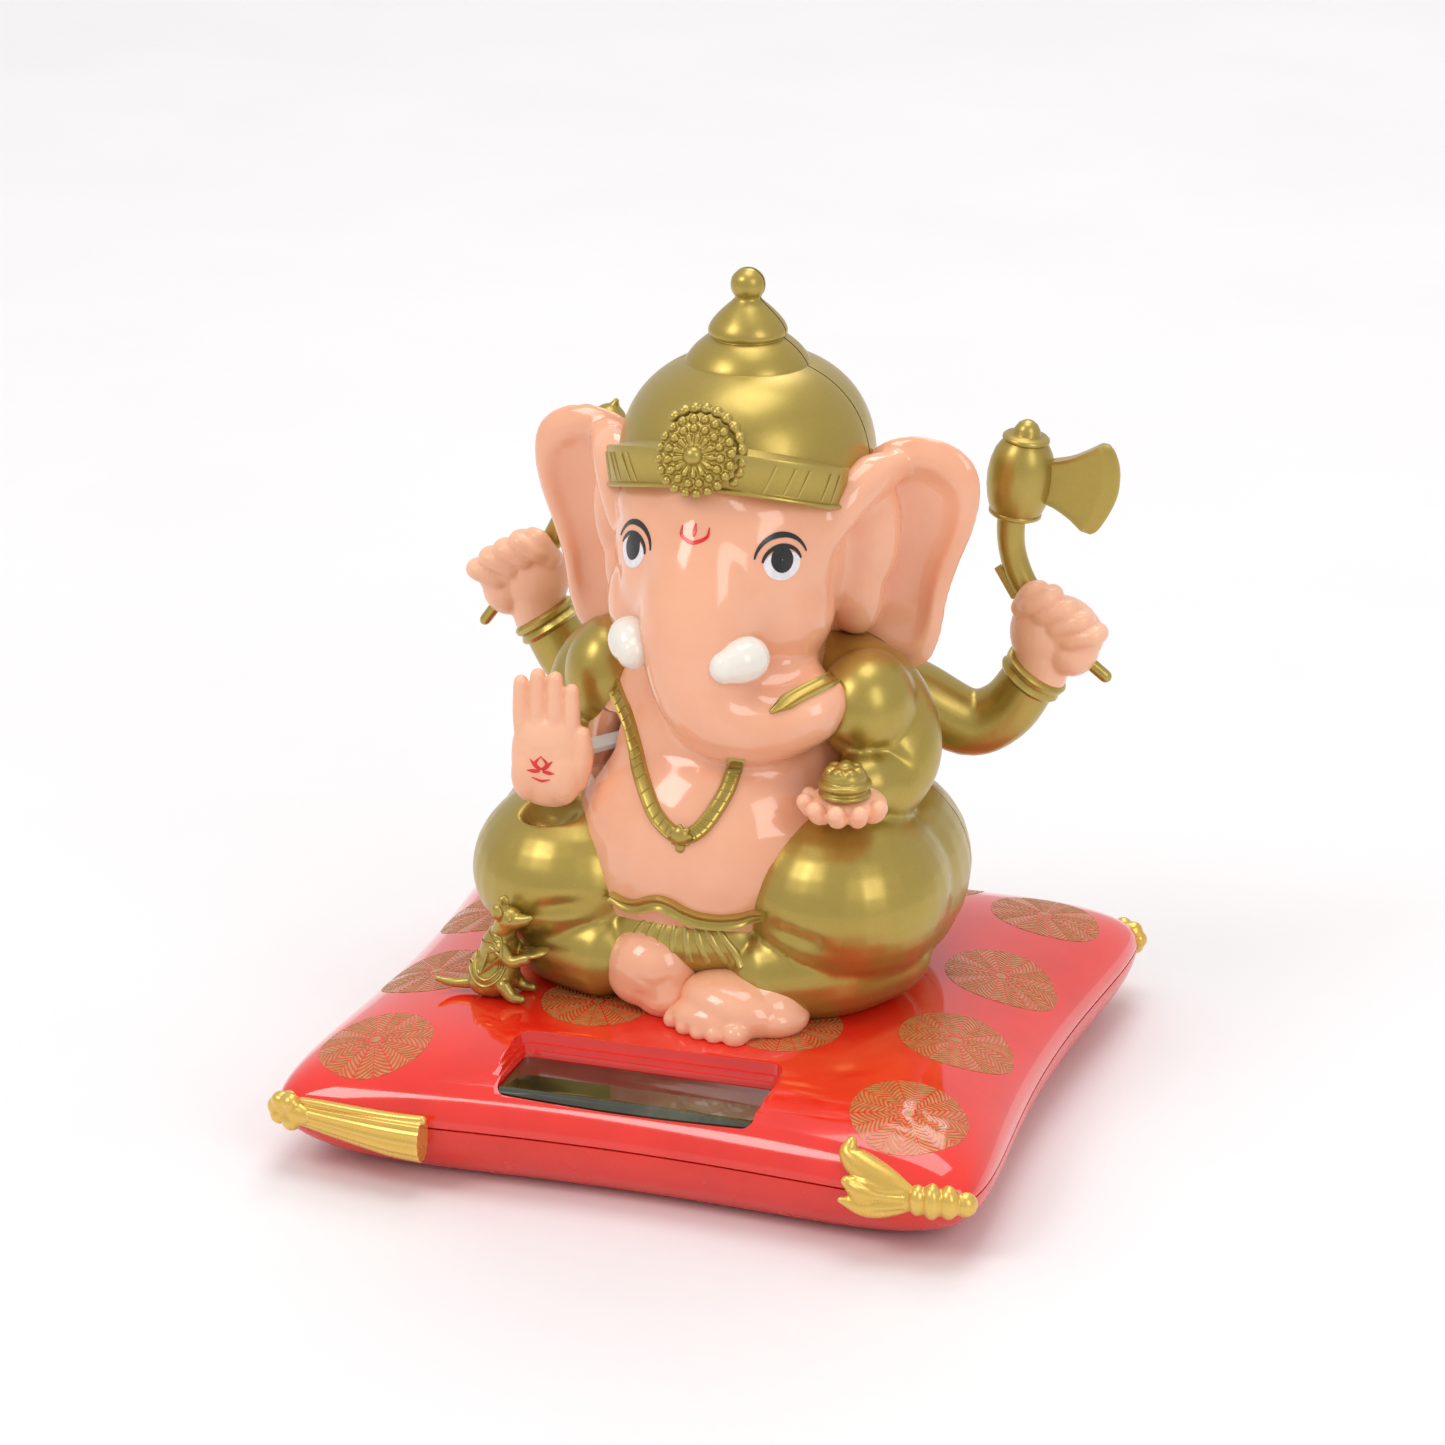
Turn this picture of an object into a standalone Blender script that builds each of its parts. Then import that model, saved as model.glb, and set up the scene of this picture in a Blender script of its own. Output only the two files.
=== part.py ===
"""Solar-powered Ganesha figure on a red cushion base, built piece by piece.

Metres, +Z up.  The origin is the middle of the cushion's flat underside, the
figure faces -Y, and +X is the figure's own left.  Heights of the figure's
pieces are measured from the crown of the cushion.
"""

import math

import bmesh
import bpy
from mathutils import Euler, Matrix, Vector

# ---------------------------------------------------------------- clearances
GAP = 0.0003                 # between pieces that touch
RUNNING = 0.00015            # radial, between the shaft and its bearings

# ------------------------------------------------------------------- cushion
BASE_HALF_X = 0.0562         # from the middle to where two sides would meet
BASE_HALF_Y = 0.0542
BASE_PINCH = 0.0033          # how far the middle of each side is drawn in
BASE_CORNER = 0.0030         # how far each corner is drawn in to round it
SEAM_Z = 0.0096              # height of the seam between the two cushion shells
CROWN_Z = 0.0200             # height of the cushion's crown
BASE_WALL = 0.0020
BASE_FULLNESS = 5            # exponent of the cushion's section: higher is fuller
FLOOR_DEPTH = 0.0040         # how much deeper than flat the lower shell would go

# -------------------------------------------------------------- solar window
WINDOW_SIZE = (0.040, 0.013, 0.0010)
WINDOW_Y = -0.0420
WINDOW_TOP = 0.0156
CELL_THICK = 0.0010
WELL_WALL = 0.0016
WIRE_RADIUS = 0.0005
WIRE_X = 0.012

# --------------------------------------------------------------- electronics
BOARD_SIZE = (0.040, 0.030, 0.0012)
BOARD_Z = 0.0052             # underside of the board
BOARD_SCREW_X = 0.0165
BOARD_SCREW_Y = 0.0110
BOBBIN_RADIUS = 0.0070
BOBBIN_CORE = 0.0030
BOBBIN_BORE = 0.0015
BOBBIN_HEIGHT = 0.0080
BOBBIN_FLANGE = 0.0008
CAPACITOR_RADIUS = 0.0032
CAPACITOR_HEIGHT = 0.0070

# ------------------------------------------------------------------- screws
SCREW_SHANK = 0.0011
SCREW_HEAD = 0.0023
SCREW_HEAD_HEIGHT = 0.0013
BOSS_RADIUS = 0.0032
BASE_SCREW_X = 0.0340
BASE_SCREW_Y = 0.0325
BASE_SCREW_LENGTH = 0.0080
FIGURE_SCREW_X = 0.0260
FIGURE_SCREW_Y = 0.0055
FIGURE_SCREW_LENGTH = 0.0085
BOARD_SCREW_LENGTH = 0.0030

# -------------------------------------------------------------------- figure
FIGURE_WALL = 0.0018
SPLIT_Y = 0.0116             # the front and rear shells meet here, on the hat's axis
EAR_CENTRE = (0.0255, 0.0130, 0.0650)
EAR_RADII = (0.0112, 0.0027, 0.0205)
HAT_RING_RADIUS = 0.0090
HAT_BULB_RADIUS = 0.0058
HAT_BALL_RADIUS = 0.0026
HAT_TOP = 0.1081             # top of the finial above the cushion's crown
TUSK_CENTRE = (0.0085, -0.0165, 0.0556)
TUSK_RADII = (0.0026, 0.0052, 0.0027)
TUSK_TURN = 22               # degrees each tusk turns towards the trunk
SLEEVE_CENTRE = (0.0215, -0.0040, 0.0370)
SLEEVE_RADII = (0.0072, 0.0090, 0.0080)
PLUG_RADIUS = 0.0014         # moulded plug of each piece pushed into the figure

# ------------------------------------------------------------------ rear arms
ARM_RADIUS = 0.0052
CUFF_RADIUS = 0.0053
FIST_CENTRE = (0.0440, 0.0320, 0.0480)
FIST_RADII = (0.0068, 0.0062, 0.0078)
STICK_RADIUS = 0.0013        # shaft of the axe and of the goad
AXE_BARREL_RADIUS = 0.0048
BLADE_THICK = 0.0016
# Routes of the figure's left side; the right arm mirrors the left one.
ARM_ROUTE = [
    (0.0130, 0.0215, 0.0420),
    (0.0210, 0.0280, 0.0370),
    (0.0300, 0.0310, 0.0312),
    (0.0362, 0.0320, 0.0345),
    (0.0408, 0.0320, 0.0410),
]
AXE_ROUTE = [
    (0.0503, 0.0320, 0.0432),
    (0.0440, 0.0320, 0.0480),
    (0.0388, 0.0320, 0.0545),
    (0.0376, 0.0320, 0.0610),
    (0.0386, 0.0320, 0.0690),
]
GOAD_ROUTE = [
    (0.0495, 0.0320, 0.0412),
    (0.0440, 0.0320, 0.0480),
    (0.0388, 0.0320, 0.0545),
    (0.0345, 0.0320, 0.0640),
    (0.0300, 0.0320, 0.0740),
]

# --------------------------------------------------------------- swing drive
PIVOT_Y = 0.0040
PIVOT_Z = 0.0400             # above the cushion's crown
SHAFT_RADIUS = 0.0010
SHAFT_HALF = 0.0095
HUB_RADIUS = 0.0026
HUB_HALF = 0.0058
CHEEK_THICK = 0.0018
CHEEK_RADIUS = 0.0036
FRAME_BACK_Y = 0.0140
FRAME_PLATE = 0.0016
MAGNET_RADIUS = 0.0050
MAGNET_HEIGHT = 0.0030
MAGNET_CLEARANCE = 0.0036    # magnet's underside above the cushion's crown
MAGNET_CUP_WALL = 0.0010
WEIGHT_RADIUS = 0.0032
WEIGHT_HALF = 0.0035
WEIGHT_Y = 0.0073            # behind the pivot
WEIGHT_DROP = 0.0150         # below the pivot
STEM_RADIUS = 0.0013
SWING_ANGLE = 7              # degrees each way
SLOT_SIDE = 0.0010           # free space beside the stem in its slot
SWING_ROOM = 0.0007          # free space round the magnet's cup as it swings
PALM_CENTRE = (-0.0234, -0.0150, 0.0360)
PALM_RADII = (0.0058, 0.0027, 0.0078)

# -------------------------------------------------------------- offered sweet
OFFER_CENTRE = (0.0240, -0.0160, 0.0345)
OFFER_RADII = (0.0068, 0.0060, 0.0024)
SWEET_RADIUS = 0.0040

# --------------------------------------------------------------------- mouse
MOUSE_X = -0.0290
MOUSE_Y = -0.0235

# ------------------------------------------------------------------- tassels
KNOT_RADIUS = 0.0040
SKIRT_RADIUS = 0.0036
SKIRT_LENGTH = 0.0190

MAIN = "ganesha_idol"


# ------------------------------------------------------------ scene and looks
def clear_scene():
    """Start from an empty scene."""
    for item in list(bpy.data.objects):
        bpy.data.objects.remove(item, do_unlink=True)


def collection(name):
    """Return the named collection, linked to the scene."""
    found = bpy.data.collections.get(name)
    if found is None:
        found = bpy.data.collections.new(name)
        bpy.context.scene.collection.children.link(found)
    return found


def material(name, colour, roughness, metallic):
    """Return a Principled material, made on first use."""
    found = bpy.data.materials.get(name)
    if found is None:
        found = bpy.data.materials.new(name)
        found.use_nodes = True
        shader = found.node_tree.nodes["Principled BSDF"]
        shader.inputs["Base Color"].default_value = (*colour, 1.0)
        shader.inputs["Roughness"].default_value = roughness
        shader.inputs["Metallic"].default_value = metallic
        found.diffuse_color = (*colour, 1.0)
    return found


def red_plastic():
    return material("red_plastic", (0.78, 0.04, 0.02), 0.15, 0.0)


def peach_plastic():
    return material("peach_plastic", (0.90, 0.42, 0.24), 0.2, 0.0)


def gold_paint():
    return material("gold_paint", (0.42, 0.31, 0.09), 0.35, 0.8)


def tassel_gold():
    return material("tassel_gold", (0.62, 0.36, 0.06), 0.3, 0.8)


def ivory_paint():
    return material("ivory_paint", (0.85, 0.82, 0.74), 0.25, 0.0)


def white_plastic():
    return material("white_plastic", (0.75, 0.75, 0.72), 0.4, 0.0)


def window_plastic():
    return material("window_plastic", (0.04, 0.04, 0.02), 0.05, 0.0)


def cell_glass():
    return material("cell_glass", (0.03, 0.02, 0.04), 0.2, 0.0)


def board_laminate():
    return material("board_laminate", (0.05, 0.22, 0.08), 0.5, 0.0)


def steel():
    return material("steel", (0.55, 0.55, 0.56), 0.3, 1.0)


def copper():
    return material("copper", (0.72, 0.33, 0.18), 0.35, 1.0)


def black_plastic():
    return material("black_plastic", (0.02, 0.02, 0.02), 0.5, 0.0)


def red_wire():
    return material("red_wire", (0.6, 0.03, 0.02), 0.45, 0.0)


# -------------------------------------------------------------- solid helpers
def from_bmesh(name, shape, group=MAIN):
    """Turn a bmesh into an object in a collection."""
    mesh = bpy.data.meshes.new(name)
    shape.to_mesh(mesh)
    shape.free()
    item = bpy.data.objects.new(name, mesh)
    collection(group).objects.link(item)
    return item


def ball(name, centre, radii, turn=(0, 0, 0), segments=16, rings=10):
    """An ellipsoid; turn is in degrees about X, Y and Z."""
    shape = bmesh.new()
    spin = Euler([math.radians(angle) for angle in turn]).to_matrix().to_4x4()
    place = Matrix.Translation(centre) @ spin @ Matrix.Diagonal((*radii, 1))
    bmesh.ops.create_uvsphere(shape, u_segments=segments, v_segments=rings, radius=1, matrix=place)
    return from_bmesh(name, shape)


def block(name, centre, size, turn=(0, 0, 0)):
    """A box; turn is in degrees about X, Y and Z."""
    shape = bmesh.new()
    spin = Euler([math.radians(angle) for angle in turn]).to_matrix().to_4x4()
    place = Matrix.Translation(centre) @ spin @ Matrix.Diagonal((*size, 1))
    bmesh.ops.create_cube(shape, size=1, matrix=place)
    return from_bmesh(name, shape)


def rod(name, start, end, radius, end_radius=None, segments=12):
    """A round bar, or a cone, between two points."""
    start = Vector(start)
    end = Vector(end)
    along = end - start
    spin = along.to_track_quat("Z", "Y").to_matrix().to_4x4()
    shape = bmesh.new()
    bmesh.ops.create_cone(
        shape,
        cap_ends=True,
        segments=segments,
        radius1=radius,
        radius2=radius if end_radius is None else end_radius,
        depth=along.length,
        matrix=Matrix.Translation((start + end) / 2) @ spin,
    )
    return from_bmesh(name, shape)


def turned(name, profile, centre, axis_turn=(0, 0, 0), steps=12):
    """A solid of revolution; profile runs down its outer side as (radius, height)."""
    shape = bmesh.new()
    points = [shape.verts.new((radius, 0, height)) for radius, height in profile]
    for first, second in zip(points, points[1:]):
        shape.edges.new((first, second))
    item = from_bmesh(name, shape)
    spin = item.modifiers.new("spin", "SCREW")
    spin.steps = steps
    spin.render_steps = steps
    spin.use_merge_vertices = True
    spin.merge_threshold = 0.00001
    bake(item)
    turn = Euler([math.radians(angle) for angle in axis_turn]).to_matrix().to_4x4()
    item.data.transform(Matrix.Translation(centre) @ turn)
    weld(item)
    return item


def weld(item):
    """Join the vertices that lie on top of each other."""
    shape = bmesh.new()
    shape.from_mesh(item.data)
    bmesh.ops.remove_doubles(shape, verts=shape.verts, dist=0.000005)
    shape.to_mesh(item.data)
    shape.free()


def tube(name, points, radii, sides=3, resolution=3):
    """A smooth tapering tube through the points, as a closed mesh."""
    curve = bpy.data.curves.new(name, "CURVE")
    curve.dimensions = "3D"
    curve.bevel_depth = 1.0
    curve.bevel_resolution = sides
    curve.resolution_u = resolution
    curve.render_resolution_u = 0
    curve.use_fill_caps = True
    spline = curve.splines.new("BEZIER")
    spline.bezier_points.add(len(points) - 1)
    for knot, point, radius in zip(spline.bezier_points, points, radii):
        knot.co = point
        knot.radius = radius
        knot.handle_left_type = "AUTO"
        knot.handle_right_type = "AUTO"
    holder = bpy.data.objects.new(name + "_curve", curve)
    collection(MAIN).objects.link(holder)
    return curve_to_mesh(name, holder)


def curve_to_mesh(name, holder):
    """Swap a curve object for a welded mesh object of the same shape."""
    bpy.context.view_layer.update()
    graph = bpy.context.evaluated_depsgraph_get()
    mesh = bpy.data.meshes.new_from_object(holder.evaluated_get(graph))
    shape = bmesh.new()
    shape.from_mesh(mesh)
    bmesh.ops.remove_doubles(shape, verts=shape.verts, dist=0.00001)
    bmesh.ops.triangulate(shape, faces=shape.faces)
    bmesh.ops.recalc_face_normals(shape, faces=shape.faces)
    place = holder.matrix_world.copy()
    bpy.data.objects.remove(holder, do_unlink=True)
    item = from_bmesh(name, shape)
    item.matrix_world = place
    return item


def bake(item):
    """Apply every modifier of an object to its mesh."""
    bpy.context.view_layer.update()
    graph = bpy.context.evaluated_depsgraph_get()
    mesh = bpy.data.meshes.new_from_object(item.evaluated_get(graph))
    item.modifiers.clear()
    item.data = mesh


def combine(target, others, operation, solver="EXACT"):
    """Fold other solids into the target with Booleans, then drop them."""
    for other in others:
        step = target.modifiers.new(operation.lower(), "BOOLEAN")
        step.operation = operation
        step.solver = solver
        step.object = other
    bake(target)
    for other in others:
        bpy.data.objects.remove(other, do_unlink=True)
    return target


def join(target, *others):
    return combine(target, others, "UNION")


def cut(target, *others):
    return combine(target, others, "DIFFERENCE")


def cut_thin(target, *others):
    """A cut that leaves thin edges, where the exact solver leaves faces that touch."""
    return combine(target, others, "DIFFERENCE", "MANIFOLD")


def finish(item, look, origin=None):
    """Give a piece its material and put its origin at a point."""
    if origin is not None:
        item.data.transform(Matrix.Translation(-Vector(origin)))
        item.location = origin
    item.data.materials.clear()
    item.data.materials.append(look)
    item.data.shade_smooth()
    item.data.set_sharp_from_angle(angle=math.radians(40))
    return item


def mirrored(point, side):
    """A point on the figure's left (side 1) or right (side -1)."""
    return Vector((point[0] * side, point[1], point[2]))


def above(point, side=1):
    """A figure point, measured from the cushion's crown, in the part's frame."""
    return Vector((point[0] * side, point[1], point[2] + CROWN_Z))


# -------------------------------------------------------------------- cushion
def pillow(name, half_x, half_y, rim, crown, floor=None, segments=16):
    """Half a cushion: flat at the rim and domed to the crown, up or down.

    The sides are drawn in at their middles and the corners are rounded.
    """
    shape = bmesh.new()
    bmesh.ops.create_grid(shape, x_segments=segments, y_segments=segments, size=1)
    for vert in shape.verts:
        u, v = spread(vert.co.x), spread(vert.co.y)
        inset_x = BASE_PINCH * (1 - v * v) + BASE_CORNER * abs(u * v) ** 8
        inset_y = BASE_PINCH * (1 - u * u) + BASE_CORNER * abs(u * v) ** 8
        rise = (1 - abs(u) ** BASE_FULLNESS) * (1 - abs(v) ** BASE_FULLNESS)
        height = rim + (crown - rim) * math.sqrt(max(rise, 0))
        if floor is not None:
            height = max(height, floor)
        vert.co = (u * (half_x - inset_x), v * (half_y - inset_y), height)
    rim_edges = [edge for edge in shape.edges if edge.is_boundary]
    bmesh.ops.edgeloop_fill(shape, edges=rim_edges)
    bmesh.ops.dissolve_limit(
        shape, angle_limit=0.0001, verts=shape.verts, edges=shape.edges
    )
    bmesh.ops.triangulate(shape, faces=shape.faces)
    bmesh.ops.recalc_face_normals(shape, faces=shape.faces)
    if shape.calc_volume(signed=True) < 0:
        bmesh.ops.reverse_faces(shape, faces=shape.faces)
    return from_bmesh(name, shape)


def spread(value):
    """Crowd the grid's lines towards the cushion's rim, where it curves most."""
    return math.sin(value * math.pi / 2)


def upper_pillow(name, grow=0.0, segments=16):
    """The cushion's upper half, from half the gap above the seam, grown outwards."""
    return pillow(
        name,
        BASE_HALF_X + grow,
        BASE_HALF_Y + grow,
        SEAM_Z + GAP / 2 - grow,
        CROWN_Z + grow,
        None,
        segments,
    )


def lower_pillow(name, grow=0.0, segments=16):
    """The cushion's lower half, from half the gap below the seam, grown outwards."""
    return pillow(
        name,
        BASE_HALF_X + grow,
        BASE_HALF_Y + grow,
        SEAM_Z - GAP / 2 + grow,
        -FLOOR_DEPTH - grow,
        -grow,
        segments,
    )


def base_screw_places():
    return [
        (x, y)
        for x in (-BASE_SCREW_X, BASE_SCREW_X)
        for y in (-BASE_SCREW_Y, BASE_SCREW_Y)
    ]


def window_floor():
    """Height of the floor of the well under the solar cell."""
    return WINDOW_TOP - WINDOW_SIZE[2] - CELL_THICK - 2 * GAP


def cushion_top():
    """Upper shell, with the window well, the screw bosses and the mouse's hole."""
    length, width, _ = WINDOW_SIZE
    cavity = pillow(
        "cavity",
        BASE_HALF_X - BASE_WALL,
        BASE_HALF_Y - BASE_WALL,
        SEAM_Z - BASE_WALL,
        CROWN_Z - BASE_WALL,
        None,
        8,
    )
    well_size = (length + 2 * WELL_WALL, width + 2 * WELL_WALL, CROWN_Z)
    well_low = window_floor() - WELL_WALL
    well = block("well", (0, WINDOW_Y, well_low + CROWN_Z / 2), well_size)
    bosses = [
        rod("boss", (x, y, boss_foot()), (x, y, CROWN_Z), BOSS_RADIUS, segments=12)
        for x, y in base_screw_places()
    ]
    cut_thin(cavity, well, *bosses)
    shell = upper_pillow("cushion_top", segments=14)
    cut_thin(shell, cavity)
    pocket_size = (length, width, CROWN_Z)
    pocket = block("pocket", (0, WINDOW_Y, window_floor() + CROWN_Z / 2), pocket_size)
    holes = [
        rod("wire_hole", (x, WINDOW_Y, 0), (x, WINDOW_Y, CROWN_Z), 2 * WIRE_RADIUS, segments=8)
        for x in (-WIRE_X, WIRE_X)
    ]
    for x, y in base_screw_places():
        top = boss_foot() + BASE_SCREW_LENGTH
        holes.append(
            rod("screw_hole", (x, y, 0), (x, y, top), SCREW_SHANK + GAP, segments=8)
        )
    for side in (-1, 1):
        x = FIGURE_SCREW_X * side
        y = FIGURE_SCREW_Y
        holes.append(
            rod("screw_hole", (x, y, 0), (x, y, 2 * CROWN_Z), SCREW_SHANK + GAP, segments=8)
        )
    holes.append(
        rod(
            "mouse_hole",
            (MOUSE_X, MOUSE_Y, SEAM_Z),
            (MOUSE_X, MOUSE_Y, 2 * CROWN_Z),
            PLUG_RADIUS + GAP,
            segments=8,
        )
    )
    cut_thin(shell, pocket, *holes)
    return finish(shell, red_plastic())


def boss_foot():
    """Lower end of the upper shell's screw bosses, just above the lower shell's floor."""
    return BASE_WALL + GAP


def cushion_bottom():
    """Lower shell, flat underneath, with screw holes and the board's posts."""
    cavity = pillow(
        "cavity",
        BASE_HALF_X - BASE_WALL,
        BASE_HALF_Y - BASE_WALL,
        SEAM_Z + BASE_WALL,
        -FLOOR_DEPTH + BASE_WALL,
        BASE_WALL,
        8,
    )
    posts = [
        rod("post", (x, y, 0), (x, y, BOARD_Z - GAP), BOSS_RADIUS * 0.8, segments=8)
        for x, y in board_screw_places()
    ]
    cut_thin(cavity, *posts)
    shell = lower_pillow("cushion_bottom", segments=12)
    cut_thin(shell, cavity)
    holes = []
    for x, y in base_screw_places():
        holes.append(rod("hole", (x, y, -1), (x, y, 1), SCREW_SHANK + GAP, segments=8))
        sink = SCREW_HEAD_HEIGHT
        holes.append(rod("sink", (x, y, -1), (x, y, sink), SCREW_HEAD + GAP, segments=12))
    for x, y in board_screw_places():
        low = BOARD_Z - BOARD_SCREW_LENGTH - GAP
        holes.append(rod("hole", (x, y, low), (x, y, 1), SCREW_SHANK + GAP, segments=8))
    cut_thin(shell, *holes)
    return finish(shell, red_plastic())


def board_screw_places():
    return [(-BOARD_SCREW_X, BOARD_SCREW_Y + PIVOT_Y), (BOARD_SCREW_X, PIVOT_Y - BOARD_SCREW_Y)]


def screw(name, head_face, length, up=True):
    """A round-headed screw whose head rests on a face, its shank along +Z or +Y."""
    profile = [
        (0, length),
        (SCREW_SHANK, length * 0.8),
        (SCREW_SHANK, 0),
        (SCREW_HEAD, 0),
        (SCREW_HEAD, -SCREW_HEAD_HEIGHT + GAP),
        (0, -SCREW_HEAD_HEIGHT + GAP),
    ]
    turn = (0, 0, 0) if up else (-90, 0, 0)
    return finish(turned(name, profile, head_face, turn, 8), steel())


def screws():
    """Four screws through the lower shell, two into the figure and two on the board."""
    for index, (x, y) in enumerate(base_screw_places(), 1):
        face = SCREW_HEAD_HEIGHT
        screw(f"base_screw_{index}", (x, y, face), BASE_SCREW_LENGTH - GAP)
    for index, side in enumerate((-1, 1), 1):
        face = CROWN_Z - BASE_WALL - 2 * GAP - crown_drop(FIGURE_SCREW_X, FIGURE_SCREW_Y)
        place = (FIGURE_SCREW_X * side, FIGURE_SCREW_Y, face)
        screw(f"figure_screw_{index}", place, FIGURE_SCREW_LENGTH)
    for index, (x, y) in enumerate(board_screw_places(), 1):
        top = BOARD_Z + BOARD_SIZE[2] + GAP
        item = screw(f"board_screw_{index}", (0, 0, 0), BOARD_SCREW_LENGTH + BOARD_SIZE[2])
        item.data.transform(Matrix.Translation((x, y, top)) @ Matrix.Rotation(math.pi, 4, "X"))


def crown_drop(x, y):
    """How far the cushion's upper surface has fallen from its crown at a point."""
    u = x / (BASE_HALF_X - BASE_PINCH - BASE_WALL)
    v = y / (BASE_HALF_Y - BASE_PINCH - BASE_WALL)
    rise = (1 - abs(u) ** BASE_FULLNESS) * (1 - abs(v) ** BASE_FULLNESS)
    return (CROWN_Z - SEAM_Z) * (1 - math.sqrt(rise))


# --------------------------------------------------------------- solar supply
def solar_supply():
    """The tinted window, the cell under it and its two wires to the board."""
    length, width, thick = WINDOW_SIZE
    pane_size = (length - 2 * GAP, width - 2 * GAP, thick)
    pane = block("solar_window", (0, WINDOW_Y, WINDOW_TOP - thick / 2), pane_size)
    finish(pane, window_plastic())
    cell_z = window_floor() + GAP + CELL_THICK / 2
    cell_size = (length - 0.001, width - 0.001, CELL_THICK)
    finish(block("solar_cell", (0, WINDOW_Y, cell_z), cell_size), cell_glass())
    for name, side, look in (("red_wire", -1, red_wire()), ("black_wire", 1, black_plastic())):
        board_edge = PIVOT_Y - BOARD_SIZE[1] / 2
        board_top = BOARD_Z + BOARD_SIZE[2] + GAP + WIRE_RADIUS
        route = [
            (WIRE_X * side, WINDOW_Y, window_floor()),
            (WIRE_X * side, WINDOW_Y, board_top + 0.0020),
            (WIRE_X * side, WINDOW_Y + 0.0030, board_top),
            (WIRE_X * side * 0.8, (WINDOW_Y + board_edge) / 2, board_top - 0.0020),
            (WIRE_X * side * 0.7, board_edge - 0.0010, board_top),
            (WIRE_X * side * 0.7, board_edge + 0.0030, board_top),
        ]
        finish(tube(name, route, [WIRE_RADIUS] * len(route), 1, 2), look)


def electronics():
    """Circuit board with its coil, capacitor and chip, under the magnet."""
    board_top = BOARD_Z + BOARD_SIZE[2]
    board = block("circuit_board", (0, PIVOT_Y, board_top - BOARD_SIZE[2] / 2), BOARD_SIZE)
    holes = [
        rod("hole", (x, y, 0), (x, y, 1), SCREW_SHANK + GAP, segments=8)
        for x, y in board_screw_places()
    ]
    cut(board, *holes)
    finish(board, board_laminate())
    foot = board_top + GAP
    top = foot + BOBBIN_HEIGHT
    spool = [
        (BOBBIN_BORE, top),
        (BOBBIN_RADIUS, top),
        (BOBBIN_RADIUS, top - BOBBIN_FLANGE),
        (BOBBIN_CORE, top - BOBBIN_FLANGE),
        (BOBBIN_CORE, foot + BOBBIN_FLANGE),
        (BOBBIN_RADIUS, foot + BOBBIN_FLANGE),
        (BOBBIN_RADIUS, foot),
        (BOBBIN_BORE, foot),
        (BOBBIN_BORE, top),
    ]
    centre = (0, PIVOT_Y, 0)
    finish(turned("coil_bobbin", spool, centre), white_plastic())
    inner = BOBBIN_CORE + GAP
    outer = BOBBIN_RADIUS - GAP
    high = top - BOBBIN_FLANGE - GAP
    low = foot + BOBBIN_FLANGE + GAP
    winding = [(inner, high), (outer, high), (outer, low), (inner, low), (inner, high)]
    finish(turned("drive_coil", winding, centre), copper())
    can_x = BOBBIN_RADIUS + CAPACITOR_RADIUS + 0.002
    can_y = PIVOT_Y + BOARD_SCREW_Y - CAPACITOR_RADIUS
    can_foot = Vector((can_x, can_y, foot))
    can_head = can_foot + Vector((0, 0, CAPACITOR_HEIGHT))
    can = rod("capacitor", can_foot, can_head, CAPACITOR_RADIUS)
    finish(can, black_plastic())
    chip_size = (0.0045, 0.0038, 0.0016)
    chip_centre = (-can_x, PIVOT_Y - BOARD_SCREW_Y / 2, foot + chip_size[2] / 2)
    finish(block("driver_chip", chip_centre, chip_size), black_plastic())


# --------------------------------------------------------------------- figure
def body_lumps():
    """The rounded masses of the seated body: name, centre above the crown, radii."""
    lumps = [
        ("belly", (0, 0, 0.021), (0.0240, 0.0240, 0.0230)),
        ("chest", (0, 0.005, 0.038), (0.0195, 0.0180, 0.0150)),
        ("head", (0, 0.0035, 0.067), (0.0178, 0.0188, 0.0180)),
        ("hat", (0, SPLIT_Y, 0.077), (0.0196, 0.0198, 0.0160)),
    ]
    for side in (-1, 1):
        lumps.append(("hip", (0.0190 * side, 0.002, 0.0135), (0.0176, 0.0280, 0.0145)))
        lumps.append(("shoulder", (0.0185 * side, 0.0080, 0.0395), (0.0095, 0.0110, 0.0120)))
    return lumps


def body(name, grow, segments=14, rings=9):
    """The body's masses joined as one solid, grown or shrunk by a distance."""
    pieces = []
    for label, centre, radii in body_lumps():
        size = [radius + grow for radius in radii]
        pieces.append(ball(label, above(centre), size, (0, 0, 0), segments, rings))
    pieces[0].name = name
    return join(*pieces)


def ear(side, grow=0.0):
    """A large flat ear beside the head."""
    radii = [radius + grow for radius in EAR_RADII]
    return ball("ear", above(EAR_CENTRE, side), radii, (0, -7 * side, 6 * side), 14, 8)


def trunk():
    """The trunk hangs between the tusks and curls to the figure's left."""
    route = [
        (0, -0.0060, 0.070),
        (0, -0.0125, 0.060),
        (0.0005, -0.0163, 0.052),
        (0.0035, -0.0188, 0.0462),
        (0.0090, -0.0185, 0.0437),
        (0.0145, -0.0160, 0.0442),
        (0.0180, -0.0120, 0.0465),
    ]
    radii = [0.0092, 0.0086, 0.0076, 0.0066, 0.0056, 0.0050, 0.0042]
    return tube("trunk", [above(point) for point in route], radii, 2, 2)


def lap():
    """The crossed legs, both feet and the sleeve of the offering arm."""
    lumps = [
        ((-0.0055, -0.0185, 0.0052), (0.0068, 0.0068, 0.0072), 0),
        ((0.0090, -0.0205, 0.0016), (0.0105, 0.0072, 0.0050), -12),
        ((0.0150, -0.0160, 0.0070), (0.0140, 0.0085, 0.0080), 0),
        ((-0.0150, -0.0140, 0.0070), (0.0120, 0.0085, 0.0080), 0),
    ]
    pieces = [sleeve()]
    for centre, radii, turn in lumps:
        pieces.append(ball("lap", above(centre), radii, (0, 0, turn), 12, 8))
    return pieces


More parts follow.
